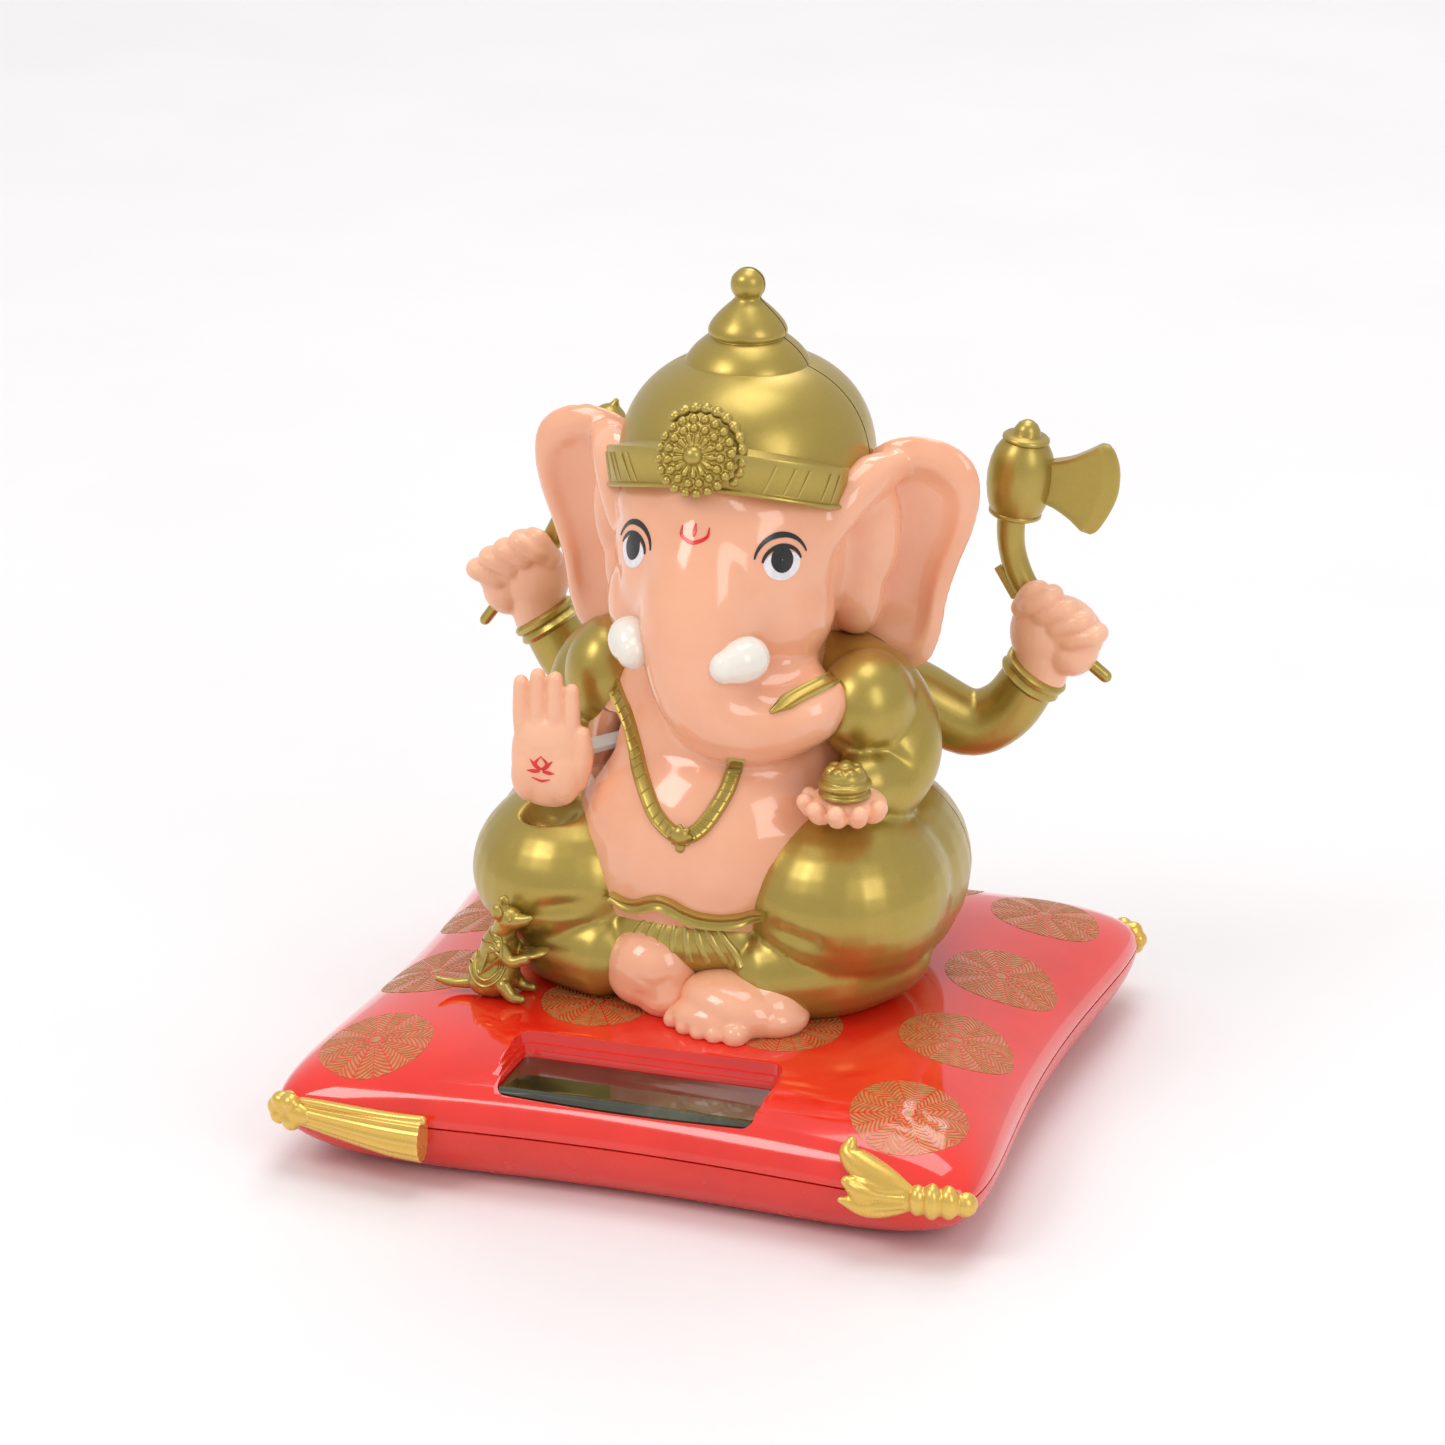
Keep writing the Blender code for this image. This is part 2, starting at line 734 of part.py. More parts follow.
def sleeve(grow=0.0):
    """The sleeve of the offering arm."""
    radii = [radius + grow for radius in SLEEVE_RADII]
    return ball("sleeve", above(SLEEVE_CENTRE), radii, (0, 0, 0), 12, 8)


def finial():
    """The hat's stepped ring, bulb and ball, turned about the hat's axis."""
    ball_z = HAT_TOP - HAT_BALL_RADIUS
    bulb_z = ball_z - 0.0095
    ring_z = bulb_z - 0.0048
    profile = [(0, HAT_TOP)]
    for degrees in range(30, 151, 30):
        angle = math.radians(degrees)
        radius = HAT_BALL_RADIUS * math.sin(angle)
        profile.append((radius, ball_z + HAT_BALL_RADIUS * math.cos(angle)))
    profile.append((HAT_BULB_RADIUS * 0.45, bulb_z + 0.0062))
    for degrees in range(40, 131, 30):
        angle = math.radians(degrees)
        profile.append((HAT_BULB_RADIUS * math.sin(angle), bulb_z + 0.0050 * math.cos(angle)))
    profile += [
        (HAT_RING_RADIUS * 0.9, ring_z + 0.0008),
        (HAT_RING_RADIUS, ring_z),
        (HAT_RING_RADIUS, ring_z - 0.0040),
        (0, ring_z - 0.0040),
    ]
    return turned("finial", profile, (0, SPLIT_Y, CROWN_Z))


def hat_band():
    """The raised band round the hat's front, tilted down towards the brow."""
    centre = above((0, SPLIT_Y, 0.0775))
    band = ball("band", centre, (0.0206, 0.0226, 0.0170), (0, 0, 0), 16, 10)
    tilt = (-6, 0, 0)
    slab = block("slab", above((0, SPLIT_Y, 0.0790)), (0.1, 0.1, 0.0055), tilt)
    return combine(band, [slab], "INTERSECT")


def swing_stem_line():
    """The ends of the stem between the hub and the blessing hand."""
    start = above((0, PIVOT_Y - HUB_RADIUS / 2, PIVOT_Z))
    end = above(PALM_CENTRE) + Vector((0, 0.0002, 0))
    return start, end


def stem_slot():
    """The cutter for the slot that the stem swings in, through the chest's wall."""
    start, end = swing_stem_line()
    along = end - start
    middle = start + along * 0.62
    lift = abs(middle.y - PIVOT_Y) * math.tan(math.radians(SWING_ANGLE))
    width = 2 * (STEM_RADIUS + SLOT_SIDE)
    height = 2 * (STEM_RADIUS + SLOT_SIDE + lift)
    turn = math.degrees(math.atan2(along.y, along.x))
    return block("slot", middle, (0.0110, width, height), (0, 0, turn))


def cup_ends():
    """The underside and the top of the magnet's cup at rest."""
    low = Vector((0, PIVOT_Y, CROWN_Z + MAGNET_CLEARANCE - GAP))
    return low, low + Vector((0, 0, MAGNET_HEIGHT + 2 * GAP + MAGNET_CUP_WALL))


def cup_radius():
    return MAGNET_RADIUS + GAP + MAGNET_CUP_WALL


def swing_room():
    """Cutters for the space that the magnet's cup sweeps inside the shells."""
    low, high = [end - pivot() for end in cup_ends()]
    extra = Vector((0, 0, SWING_ROOM))
    radius = cup_radius() + SWING_ROOM
    rooms = []
    for step in range(-2, 3):
        turn = Matrix.Rotation(math.radians(SWING_ANGLE) * step / 2, 3, "X")
        foot = pivot() + turn @ (low - extra)
        head = pivot() + turn @ (high + extra)
        rooms.append(rod("room", foot, head, radius, segments=16))
    return rooms


def seat_cutter():
    """The cushion's upper surface raised by the gap, which trims what sits on it."""
    return upper_pillow("seat", GAP, 12)


def figure_shells():
    """The front shell with face, legs and feet, and the rear shell behind it."""
    front = body("front_shell", 0.0)
    join(front, finial(), hat_band())
    rear = front.copy()
    rear.data = front.data.copy()
    rear.name = "rear_shell"
    collection(MAIN).objects.link(rear)
    far = 0.2
    join(front, trunk(), *lap())
    cut_thin(front, block("behind", (0, SPLIT_Y - GAP / 2 + far / 2, 0.1), (far, far, far * 2)))
    cut_thin(rear, block("ahead", (0, SPLIT_Y + GAP / 2 - far / 2, 0.1), (far, far, far * 2)))
    join(front, ear(1), ear(-1))
    cut_thin(rear, ear(1, GAP), ear(-1, GAP))
    cavity = body("cavity", -FIGURE_WALL, 10, 7)
    cavity_rear = cavity.copy()
    cavity_rear.data = cavity.data.copy()
    collection(MAIN).objects.link(cavity_rear)
    cut_thin(cavity, *figure_bosses())
    cut_thin(cavity_rear, frame_boss())
    cut_thin(front, cavity, stem_slot(), seat_cutter(), *swing_room())
    cut_thin(rear, cavity_rear, seat_cutter(), *swing_room())
    cut_thin(front, *front_sockets())
    cut_thin(rear, *rear_sockets())
    finish(front, peach_plastic())
    finish(rear, gold_paint())


def figure_bosses():
    """Bosses that take the screws from the cushion, each webbed to the hip's wall."""
    pieces = []
    for side in (-1, 1):
        x = FIGURE_SCREW_X * side
        foot = Vector((x, FIGURE_SCREW_Y, SEAM_Z))
        head = above((x, FIGURE_SCREW_Y, FIGURE_SCREW_LENGTH))
        pieces.append(rod("boss", foot, head, BOSS_RADIUS, segments=12))
        web = above((x + 0.004 * side, FIGURE_SCREW_Y, FIGURE_SCREW_LENGTH / 2))
        pieces.append(block("web", web, (0.0100, 0.0016, FIGURE_SCREW_LENGTH)))
    return pieces


def frame_boss():
    """The boss on the rear shell's inside that the swing frame is screwed to."""
    start = above((0, FRAME_BACK_Y + FRAME_PLATE + GAP, PIVOT_Z))
    return rod("boss", start, start + Vector((0, 0.020, 0)), BOSS_RADIUS, segments=12)


def plug_line(centre, target, length):
    """A plug's two ends: from inside a piece towards the point it is pushed to."""
    start = Vector(centre)
    return start, start + (Vector(target) - start).normalized() * length


def tusk_plug(side):
    centre = above(TUSK_CENTRE, side)
    return plug_line(centre, above((0.0060, 0.0, 0.0600), side), 0.0085)


def offer_plug():
    return plug_line(above(OFFER_CENTRE), above((0.0205, 0.0040, 0.0370)), 0.0150)


def arm_plug(side):
    root = above(ARM_ROUTE[0], side)
    return plug_line(root, above((0.0050, 0.0060, 0.0400), side), 0.0065)


def front_sockets():
    """Holes for the figure's screws, the tusks and the offering hand."""
    holes = []
    for side in (-1, 1):
        x = FIGURE_SCREW_X * side
        foot = (x, FIGURE_SCREW_Y, SEAM_Z)
        head = above((x, FIGURE_SCREW_Y, FIGURE_SCREW_LENGTH - BASE_WALL))
        holes.append(rod("hole", foot, head, SCREW_SHANK + GAP, segments=8))
        holes.append(rod("hole", *tusk_plug(side), PLUG_RADIUS + GAP, segments=8))
    holes.append(rod("hole", *offer_plug(), PLUG_RADIUS + GAP, segments=8))
    return holes


def rear_sockets():
    """Holes for the swing frame's screw and the rear arms' plugs."""
    start = above((0, FRAME_BACK_Y, PIVOT_Z))
    end = start + Vector((0, 0.0065, 0))
    holes = [rod("hole", start, end, SCREW_SHANK + GAP, segments=8)]
    for side in (-1, 1):
        first, last = arm_plug(side)
        reach = last + (last - first) * 0.1
        holes.append(rod("hole", first, reach, PLUG_RADIUS + GAP, segments=8))
    return holes


def tusks():
    """Two blunt tusks plugged into the cheeks."""
    for name, side in (("tusk_left", 1), ("tusk_right", -1)):
        tusk = ball(name, above(TUSK_CENTRE, side), TUSK_RADII, (8, 0, -TUSK_TURN * side), 12, 8)
        cut(tusk, body("clear", GAP), tube_clearance())
        join(tusk, rod("plug", *tusk_plug(side), PLUG_RADIUS, segments=8))
        finish(tusk, ivory_paint())


def tube_clearance():
    """The trunk grown by the gap, to keep its neighbours off it."""
    grown = trunk()
    shape = bmesh.new()
    shape.from_mesh(grown.data)
    for vert in shape.verts:
        vert.normal_update()
    for vert in shape.verts:
        vert.co += vert.normal * GAP * 1.2
    shape.to_mesh(grown.data)
    shape.free()
    return grown


# ------------------------------------------------------------------ rear arms


def arm_tube(side, grow=0.0):
    """A bent rear arm, thickest at the elbow."""
    radii = [ARM_RADIUS, ARM_RADIUS, ARM_RADIUS * 1.05, ARM_RADIUS * 0.95, ARM_RADIUS * 0.82]
    points = [above(point, side) for point in ARM_ROUTE]
    return tube("arm", points, [radius + grow for radius in radii], 2, 2)


def cuff(side, grow=0.0):
    """The flared cuff at the end of the sleeve."""
    end = above(ARM_ROUTE[-1], side)
    along = (end - above(ARM_ROUTE[-2], side)).normalized()
    half = 0.0012 + grow
    return rod("cuff", end - along * half, end + along * half, CUFF_RADIUS + grow, segments=16)


def rear_arms():
    """Both rear arms, each with a fist that closes round a weapon's shaft."""
    for label, side, route in (("left", 1, AXE_ROUTE), ("right", -1, GOAD_ROUTE)):
        arm = arm_tube(side)
        arm.name = "rear_arm_" + label
        join(arm, cuff(side))
        cut(arm, body("clear", GAP), ear(side, GAP))
        join(arm, rod("plug", *arm_plug(side), PLUG_RADIUS, segments=8))
        finish(arm, gold_paint())
        turn = (0, 12 * side, 0)
        fist = ball("rear_fist_" + label, above(FIST_CENTRE, side), FIST_RADII, turn, 14, 9)
        cut(fist, arm_tube(side, GAP), cuff(side, GAP), stick("bore", route, side, GAP))
        finish(fist, peach_plastic())


def stick(name, route, side, grow=0.0):
    """A weapon's curved shaft, thicker towards its head."""
    points = [above(point, side) for point in route]
    radii = [STICK_RADIUS * factor + grow for factor in (0.8, 1.0, 1.4, 1.7, 1.8)]
    return tube(name, points, radii, 1, 2)


def axe():
    """The axe: curved shaft, turned barrel with a ball, and a fan-shaped blade."""
    shaft = stick("axe", AXE_ROUTE, 1)
    top = above(AXE_ROUTE[-1])
    profile = [
        (0, 0.0130),
        (0.0016, 0.0122),
        (0.0018, 0.0112),
        (0.0032, 0.0106),
        (0.0040, 0.0090),
        (AXE_BARREL_RADIUS, 0.0055),
        (AXE_BARREL_RADIUS * 0.96, 0.0020),
        (AXE_BARREL_RADIUS * 0.7, -0.0020),
        (0, -0.0020),
    ]
    barrel = turned("barrel", profile, top)
    root = top.z + 0.0060
    blade = fan_blade(Vector((top.x + 0.0030, top.y, root)), 0.0120, 0.0024, 0.0075)
    join(shaft, barrel, blade)
    finish(shaft, gold_paint())


def fan_blade(root, reach, narrow, wide):
    """A flat blade that widens from its root to a curved edge, in the XZ plane."""
    curve = bpy.data.curves.new("blade", "CURVE")
    curve.dimensions = "2D"
    curve.fill_mode = "BOTH"
    curve.extrude = BLADE_THICK / 2
    spline = curve.splines.new("POLY")
    outline = [(0, -narrow), (reach * 0.55, -wide * 0.62)]
    for step in range(-3, 4):
        angle = math.radians(24) * step
        outline.append((reach * 0.62 + reach * 0.38 * math.cos(angle), wide * step / 3))
    outline += [(reach * 0.55, wide * 0.62), (0, narrow)]
    spline.points.add(len(outline) - 1)
    for point, (x, y) in zip(spline.points, outline):
        point.co = (x, y, 0, 1)
    spline.use_cyclic_u = True
    holder = bpy.data.objects.new("blade_curve", curve)
    collection(MAIN).objects.link(holder)
    holder.matrix_world = Matrix.Translation(root) @ Matrix.Rotation(math.pi / 2, 4, "X")
    return curve_to_mesh("blade", holder)


def goad():
    """The goad: a curved shaft whose head bends over into a hook."""
    shaft = stick("goad", GOAD_ROUTE, -1)
    top = above(GOAD_ROUTE[-1], -1)
    head = ball("head", top, (0.0030, 0.0030, 0.0036), (0, 0, 0), 12, 8)
    tip = rod("tip", top, top + Vector((0.0020, 0, 0.0050)), 0.0018, 0.0006, 10)
    hook_points = [top, top + Vector((-0.0040, 0, 0.0010)), top + Vector((-0.0055, 0, -0.0030))]
    hook = tube("hook", hook_points, [0.0016, 0.0014, 0.0008], 1, 3)
    join(shaft, head, tip, hook)
    finish(shaft, gold_paint())


# --------------------------------------------------------------- swing drive
def pivot():
    return above((0, PIVOT_Y, PIVOT_Z))


def swing_frame():
    """The bracket that carries the shaft, screwed inside the rear shell."""
    cheek_x = HUB_HALF + GAP + CHEEK_THICK / 2
    centre = pivot()
    plate_y = FRAME_BACK_Y + FRAME_PLATE / 2
    plate_size = (2 * cheek_x + CHEEK_THICK, FRAME_PLATE, 2 * CHEEK_RADIUS)
    frame = block("swing_frame", (0, plate_y, centre.z), plate_size)
    pieces = []
    for side in (-1, 1):
        x = cheek_x * side
        length = FRAME_BACK_Y + FRAME_PLATE / 2 - PIVOT_Y
        arm_centre = (x, PIVOT_Y + length / 2, centre.z)
        pieces.append(block("arm", arm_centre, (CHEEK_THICK, length, 1.7 * CHEEK_RADIUS)))
        inner = Vector((x - CHEEK_THICK / 2, PIVOT_Y, centre.z))
        outer = Vector((x + CHEEK_THICK / 2, PIVOT_Y, centre.z))
        pieces.append(rod("eye", inner, outer, CHEEK_RADIUS))
    join(frame, *pieces)
    end = Vector((2 * SHAFT_HALF, 0, 0))
    bearing = rod("bearing", centre - end, centre + end, SHAFT_RADIUS + RUNNING)
    hole_start = Vector((0, FRAME_BACK_Y - 0.001, centre.z))
    hole_end = hole_start + Vector((0, 0.004, 0))
    hole = rod("hole", hole_start, hole_end, SCREW_SHANK + GAP, segments=8)
    cut(frame, bearing, hole)
    finish(frame, white_plastic())
    screw("frame_screw", (0, FRAME_BACK_Y - GAP, centre.z), 0.0060, up=False)


def swing_lever():
    """The pendulum: hub, magnet cup, counterweight arm and the hand's stem."""
    centre = pivot()
    start = centre - Vector((HUB_HALF, 0, 0))
    end = centre + Vector((HUB_HALF, 0, 0))
    lever = rod("swing_lever", start, end, HUB_RADIUS)
    cup_low, cup_high = cup_ends()
    cup = rod("cup", cup_low, cup_high, cup_radius())
    leg_low = cup_high.z - MAGNET_CUP_WALL / 2
    leg_size = (0.0030, 0.0022, centre.z - leg_low)
    leg = block("leg", (0, PIVOT_Y, (centre.z + leg_low) / 2), leg_size)
    weight = weight_centre()
    bar_size = (0.0026, weight.y - PIVOT_Y, 0.0020)
    bar = block("bar", (0, (weight.y + PIVOT_Y) / 2, weight.z), bar_size)
    sleeve_half = Vector((0.0013, 0, 0))
    sleeve = rod("sleeve", weight - sleeve_half, weight + sleeve_half, WEIGHT_RADIUS * 0.9)
    stem = rod("stem", *swing_stem_line(), STEM_RADIUS, segments=8)
    join(lever, leg, cup, bar, sleeve, stem)
    bore = rod("bore", start * 2 - centre, end * 2 - centre, SHAFT_RADIUS + RUNNING)
    pocket_top = cup_high - Vector((0, 0, MAGNET_CUP_WALL))
    pocket_start = cup_low - Vector((0, 0, MAGNET_CUP_WALL))
    pocket = rod("pocket", pocket_start, pocket_top, MAGNET_RADIUS + GAP)
    weight_ends = Vector((2 * WEIGHT_HALF, 0, 0))
    neck = weight_pin() + GAP
    weight_hole = rod("hole", weight - weight_ends, weight + weight_ends, neck, segments=8)
    cut(lever, bore, pocket, weight_hole)
    finish(lever, white_plastic(), centre)
    reach = Vector((SHAFT_HALF, 0, 0))
    finish(rod("swing_shaft", centre - reach, centre + reach, SHAFT_RADIUS), steel(), centre)
    magnet_low = cup_low + Vector((0, 0, GAP))
    magnet_high = magnet_low + Vector((0, 0, MAGNET_HEIGHT))
    finish(rod("magnet", magnet_low, magnet_high, MAGNET_RADIUS), steel(), centre)
    counterweight()


def weight_centre():
    return pivot() + Vector((0, WEIGHT_Y, -WEIGHT_DROP))


def weight_pin():
    """Radius of the neck between the counterweight's two heads."""
    return WEIGHT_RADIUS * 0.5


def counterweight():
    """A steel dumb-bell whose neck sits in the lever's sleeve."""
    neck_half = 0.0013 + GAP
    head_end = neck_half + WEIGHT_HALF
    profile = [
        (0, head_end),
        (WEIGHT_RADIUS, head_end),
        (WEIGHT_RADIUS, neck_half),
        (weight_pin(), neck_half),
        (weight_pin(), -neck_half),
        (WEIGHT_RADIUS, -neck_half),
        (WEIGHT_RADIUS, -head_end),
        (0, -head_end),
    ]
    item = turned("counterweight", profile, weight_centre(), (0, 90, 0))
    finish(item, steel(), pivot())


def blessing_hand():
    """The raised open hand on the end of the stem."""
    centre = above(PALM_CENTRE)
    hand = ball("blessing_hand", centre - Vector((0, 0, 0.0005)), PALM_RADII, (0, 0, 0), 12, 8)
    fingers = []
    for index in range(4):
        across = (index - 1.5) * 0.0027
        tip = 0.0136 - abs(index - 1.7) * 0.0009
        foot = centre + Vector((across * 0.9, 0.0002, 0.0040))
        middle = centre + Vector((across, 0, (0.0040 + tip) / 2))
        size = (0.0015, 0.0019, (tip - 0.0030) / 2)
        place = (middle + foot) / 2 + Vector((0, 0, 0.0020))
        fingers.append(ball("finger", place, size, (0, 0, 0), 8, 6))
    thumb = centre + Vector((0.0056, 0.0004, 0.0010))
    fingers.append(ball("thumb", thumb, (0.0014, 0.0017, 0.0040), (0, 14, 0), 8, 6))
    join(hand, *fingers)
    start, end = swing_stem_line()
    reach = end + (end - start).normalized() * GAP
    cut(hand, rod("socket", start, reach, STEM_RADIUS + GAP, segments=8))
    finish(hand, peach_plastic(), pivot())


# ------------------------------------------------------------- offering hand
def offering_hand():
    """The open left hand with a gold sweet on its palm."""
    hand = ball("offering_hand", above(OFFER_CENTRE), OFFER_RADII, (0, 0, 0), 14, 8)
    fingers = []
    for index in range(4):
        across = (index - 1.5) * 0.0028
        centre = above(OFFER_CENTRE) + Vector((across, -0.0048, 0.0004))
        fingers.append(ball("finger", centre, (0.0016, 0.0026, 0.0015), (0, 0, 0), 8, 6))
    join(hand, *fingers)
    seat = above(OFFER_CENTRE).z + OFFER_RADII[2] * 0.55
    size = 0.02
    seat_centre = (OFFER_CENTRE[0], OFFER_CENTRE[1] + 0.0015, seat + size / 2)
    cut(hand, block("seat", seat_centre, (size, 0.0124, size)))
    cut(hand, body("clear", GAP), sleeve(GAP))
    join(hand, rod("plug", *offer_plug(), PLUG_RADIUS, segments=8))
    finish(hand, peach_plastic())
    base = seat + 1.5 * GAP
    profile = [
        (0, 0.0046),
        (SWEET_RADIUS * 0.45, 0.0043),
        (SWEET_RADIUS * 0.85, 0.0030),
        (SWEET_RADIUS, 0.0016),
        (SWEET_RADIUS * 0.92, 0.0008),
        (SWEET_RADIUS * 0.75, 0),
        (0, 0),
    ]
    place = (OFFER_CENTRE[0], OFFER_CENTRE[1], base)
    sweet = turned("sweet", profile, place)
    cut(sweet, sleeve(GAP))
    finish(sweet, gold_paint())


# ---------------------------------------------------------------------- mouse
def mouse():
    """The little mouse that sits up with a tray, plugged into the cushion."""
    def spot(x, y, z):
        return above((MOUSE_X + x, MOUSE_Y + y, z))

    creature = ball("mouse", spot(0, 0, 0.0035), (0.0044, 0.0050, 0.0048), (0, 0, 0), 12, 8)
    elbow = spot(0.0014, -0.0022, 0.0072)
    tail = [
        spot(-0.0020, 0, 0.0014),
        spot(-0.0058, -0.0002, 0.0008),
        spot(-0.0092, -0.0010, 0.0010),
    ]
    pieces = [
        ball("chest", spot(0.0012, -0.0010, 0.0080), (0.0032, 0.0034, 0.0052), (0, 14, 0), 10, 7),
        ball("head", spot(0.0030, -0.0018, 0.0126), (0.0034, 0.0026, 0.0024), (0, -18, 0), 10, 7),
        ball("ear", spot(0.0008, 0.0002, 0.0146), (0.0015, 0.0008, 0.0015), (0, 0, 0), 8, 5),
        ball("ear", spot(0.0008, -0.0036, 0.0144), (0.0015, 0.0008, 0.0015), (0, 0, 0), 8, 5),
        rod("forearm", elbow, spot(0.0062, -0.0034, 0.0066), 0.0011, 0.0009, 8),
        ball("tray", spot(0.0076, -0.0034, 0.0074), (0.0026, 0.0022, 0.0009), (0, -14, 0), 8, 5),
        tube("tail", tail, [0.0012, 0.0008, 0.0005], 1, 3),
    ]
    join(creature, *pieces)
    cut(creature, seat_cutter(), body("clear", GAP))
    plug_top = spot(0, 0, 0.0030)
    plug_low = Vector((MOUSE_X, MOUSE_Y, CROWN_Z - BASE_WALL))
    join(creature, rod("plug", plug_low, plug_top, PLUG_RADIUS, segments=8))
    finish(creature, gold_paint())


# -------------------------------------------------------------------- tassels
def tassels():
    """A tassel at each corner of the cushion, its skirt lying along the edge."""
    corner = 0
    for side_y in (-1, 1):
        for side_x in (-1, 1):
            corner += 1
            reach = KNOT_RADIUS * 0.35
            x = (BASE_HALF_X - BASE_CORNER + reach) * side_x
            y = (BASE_HALF_Y - BASE_CORNER + reach) * side_y
            start = Vector((x, y, SEAM_Z))
            radii = [KNOT_RADIUS] * 3
            knot = ball(f"tassel_{corner}", start, radii, (0, 0, 7 * corner), 8, 6)
            inward = Vector((-SKIRT_LENGTH * side_x, 0.0030 * -side_y, -0.0010))
            middle = start + inward * 0.5 + Vector((0, 0.0006 * side_y, 0))
            end = start + inward
            radii = [SKIRT_RADIUS * 0.6, SKIRT_RADIUS, SKIRT_RADIUS * 1.1]
            skirt = tube("skirt", [start, middle, end], radii, 2, 2)
            join(knot, skirt)
            whole = upper_pillow("whole", 2 * GAP, 12)
            combine(whole, [lower_pillow("low", 2 * GAP, 12)], "UNION", "MANIFOLD")
            cut_thin(knot, whole)
            finish(knot, tassel_gold())


def build():
    clear_scene()
    collection(MAIN)
    cushion_top()
    cushion_bottom()
    solar_supply()
    electronics()
    screws()
    figure_shells()
    tusks()
    rear_arms()
    axe()
    goad()
    swing_frame()
    swing_lever()
    blessing_hand()
    offering_hand()
    mouse()
    tassels()


build()
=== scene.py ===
import math

import bmesh
import bpy
import numpy as np
from mathutils import Matrix, Vector
from mathutils.bvhtree import BVHTree


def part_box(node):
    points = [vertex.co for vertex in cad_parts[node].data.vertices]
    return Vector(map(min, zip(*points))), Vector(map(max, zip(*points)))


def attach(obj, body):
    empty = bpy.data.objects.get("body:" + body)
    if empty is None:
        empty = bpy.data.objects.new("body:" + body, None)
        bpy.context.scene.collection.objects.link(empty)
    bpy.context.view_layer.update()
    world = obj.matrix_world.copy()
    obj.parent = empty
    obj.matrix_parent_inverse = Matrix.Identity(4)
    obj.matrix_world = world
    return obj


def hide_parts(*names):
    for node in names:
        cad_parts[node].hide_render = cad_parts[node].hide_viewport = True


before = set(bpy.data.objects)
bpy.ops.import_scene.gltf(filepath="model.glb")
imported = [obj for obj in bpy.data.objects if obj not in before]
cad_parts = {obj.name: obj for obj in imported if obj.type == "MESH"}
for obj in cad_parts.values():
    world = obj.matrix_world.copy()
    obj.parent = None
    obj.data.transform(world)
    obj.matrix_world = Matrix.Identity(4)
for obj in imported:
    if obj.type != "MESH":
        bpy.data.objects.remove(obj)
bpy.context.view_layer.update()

# Looks of the seated elephant-headed figure on its cushion.  Lengths in this
# script are millimetres, and new_object() turns them into metres.  The figure
# faces -Y, +Z is up and +X is the figure's own left.

MM = 0.001
SEAM_GAP = 0.36              # open line between the front and the rear shell
EAR_ROOT, EAR_ROOM = 15.6, 10.5   # where that line steps back behind the ears, and how far
FIXED = "figure_on_base"
SWINGING = "swinging_hand"

# Measures shared with the solids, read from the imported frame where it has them.
TOP_LOW, TOP_HIGH = [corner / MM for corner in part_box("cushion_top")]
LOWER_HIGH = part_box("cushion_bottom")[1] / MM
PANE_LOW, PANE_HIGH = [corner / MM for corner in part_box("solar_window")]
SPLIT_Y = 11.6
CROWN = TOP_HIGH.z
SEAM_Z = (TOP_LOW.z + LOWER_HIGH.z) / 2
HALF_X, HALF_Y = 59.0, 57.0
PINCH, CORNER, ROUND = 6.1, 5.4, 5   # how far sides and corners draw in, and how suddenly
LAY = (-0.292, 0.889, -0.352)     # slanted direction in which the necklace is laid on
BLESSING_HAND = (-23.3, -15.0, 56.0)
OFFERING_HAND = (24.2, -15.4, 54.4)
ARMS_Y = 32                       # the upright plane of the rear fists and of what they hold
BOX_FACES = [(0, 1, 2, 3), (7, 6, 5, 4), (0, 4, 5, 1), (1, 5, 6, 2), (2, 6, 7, 3), (3, 7, 4, 0)]


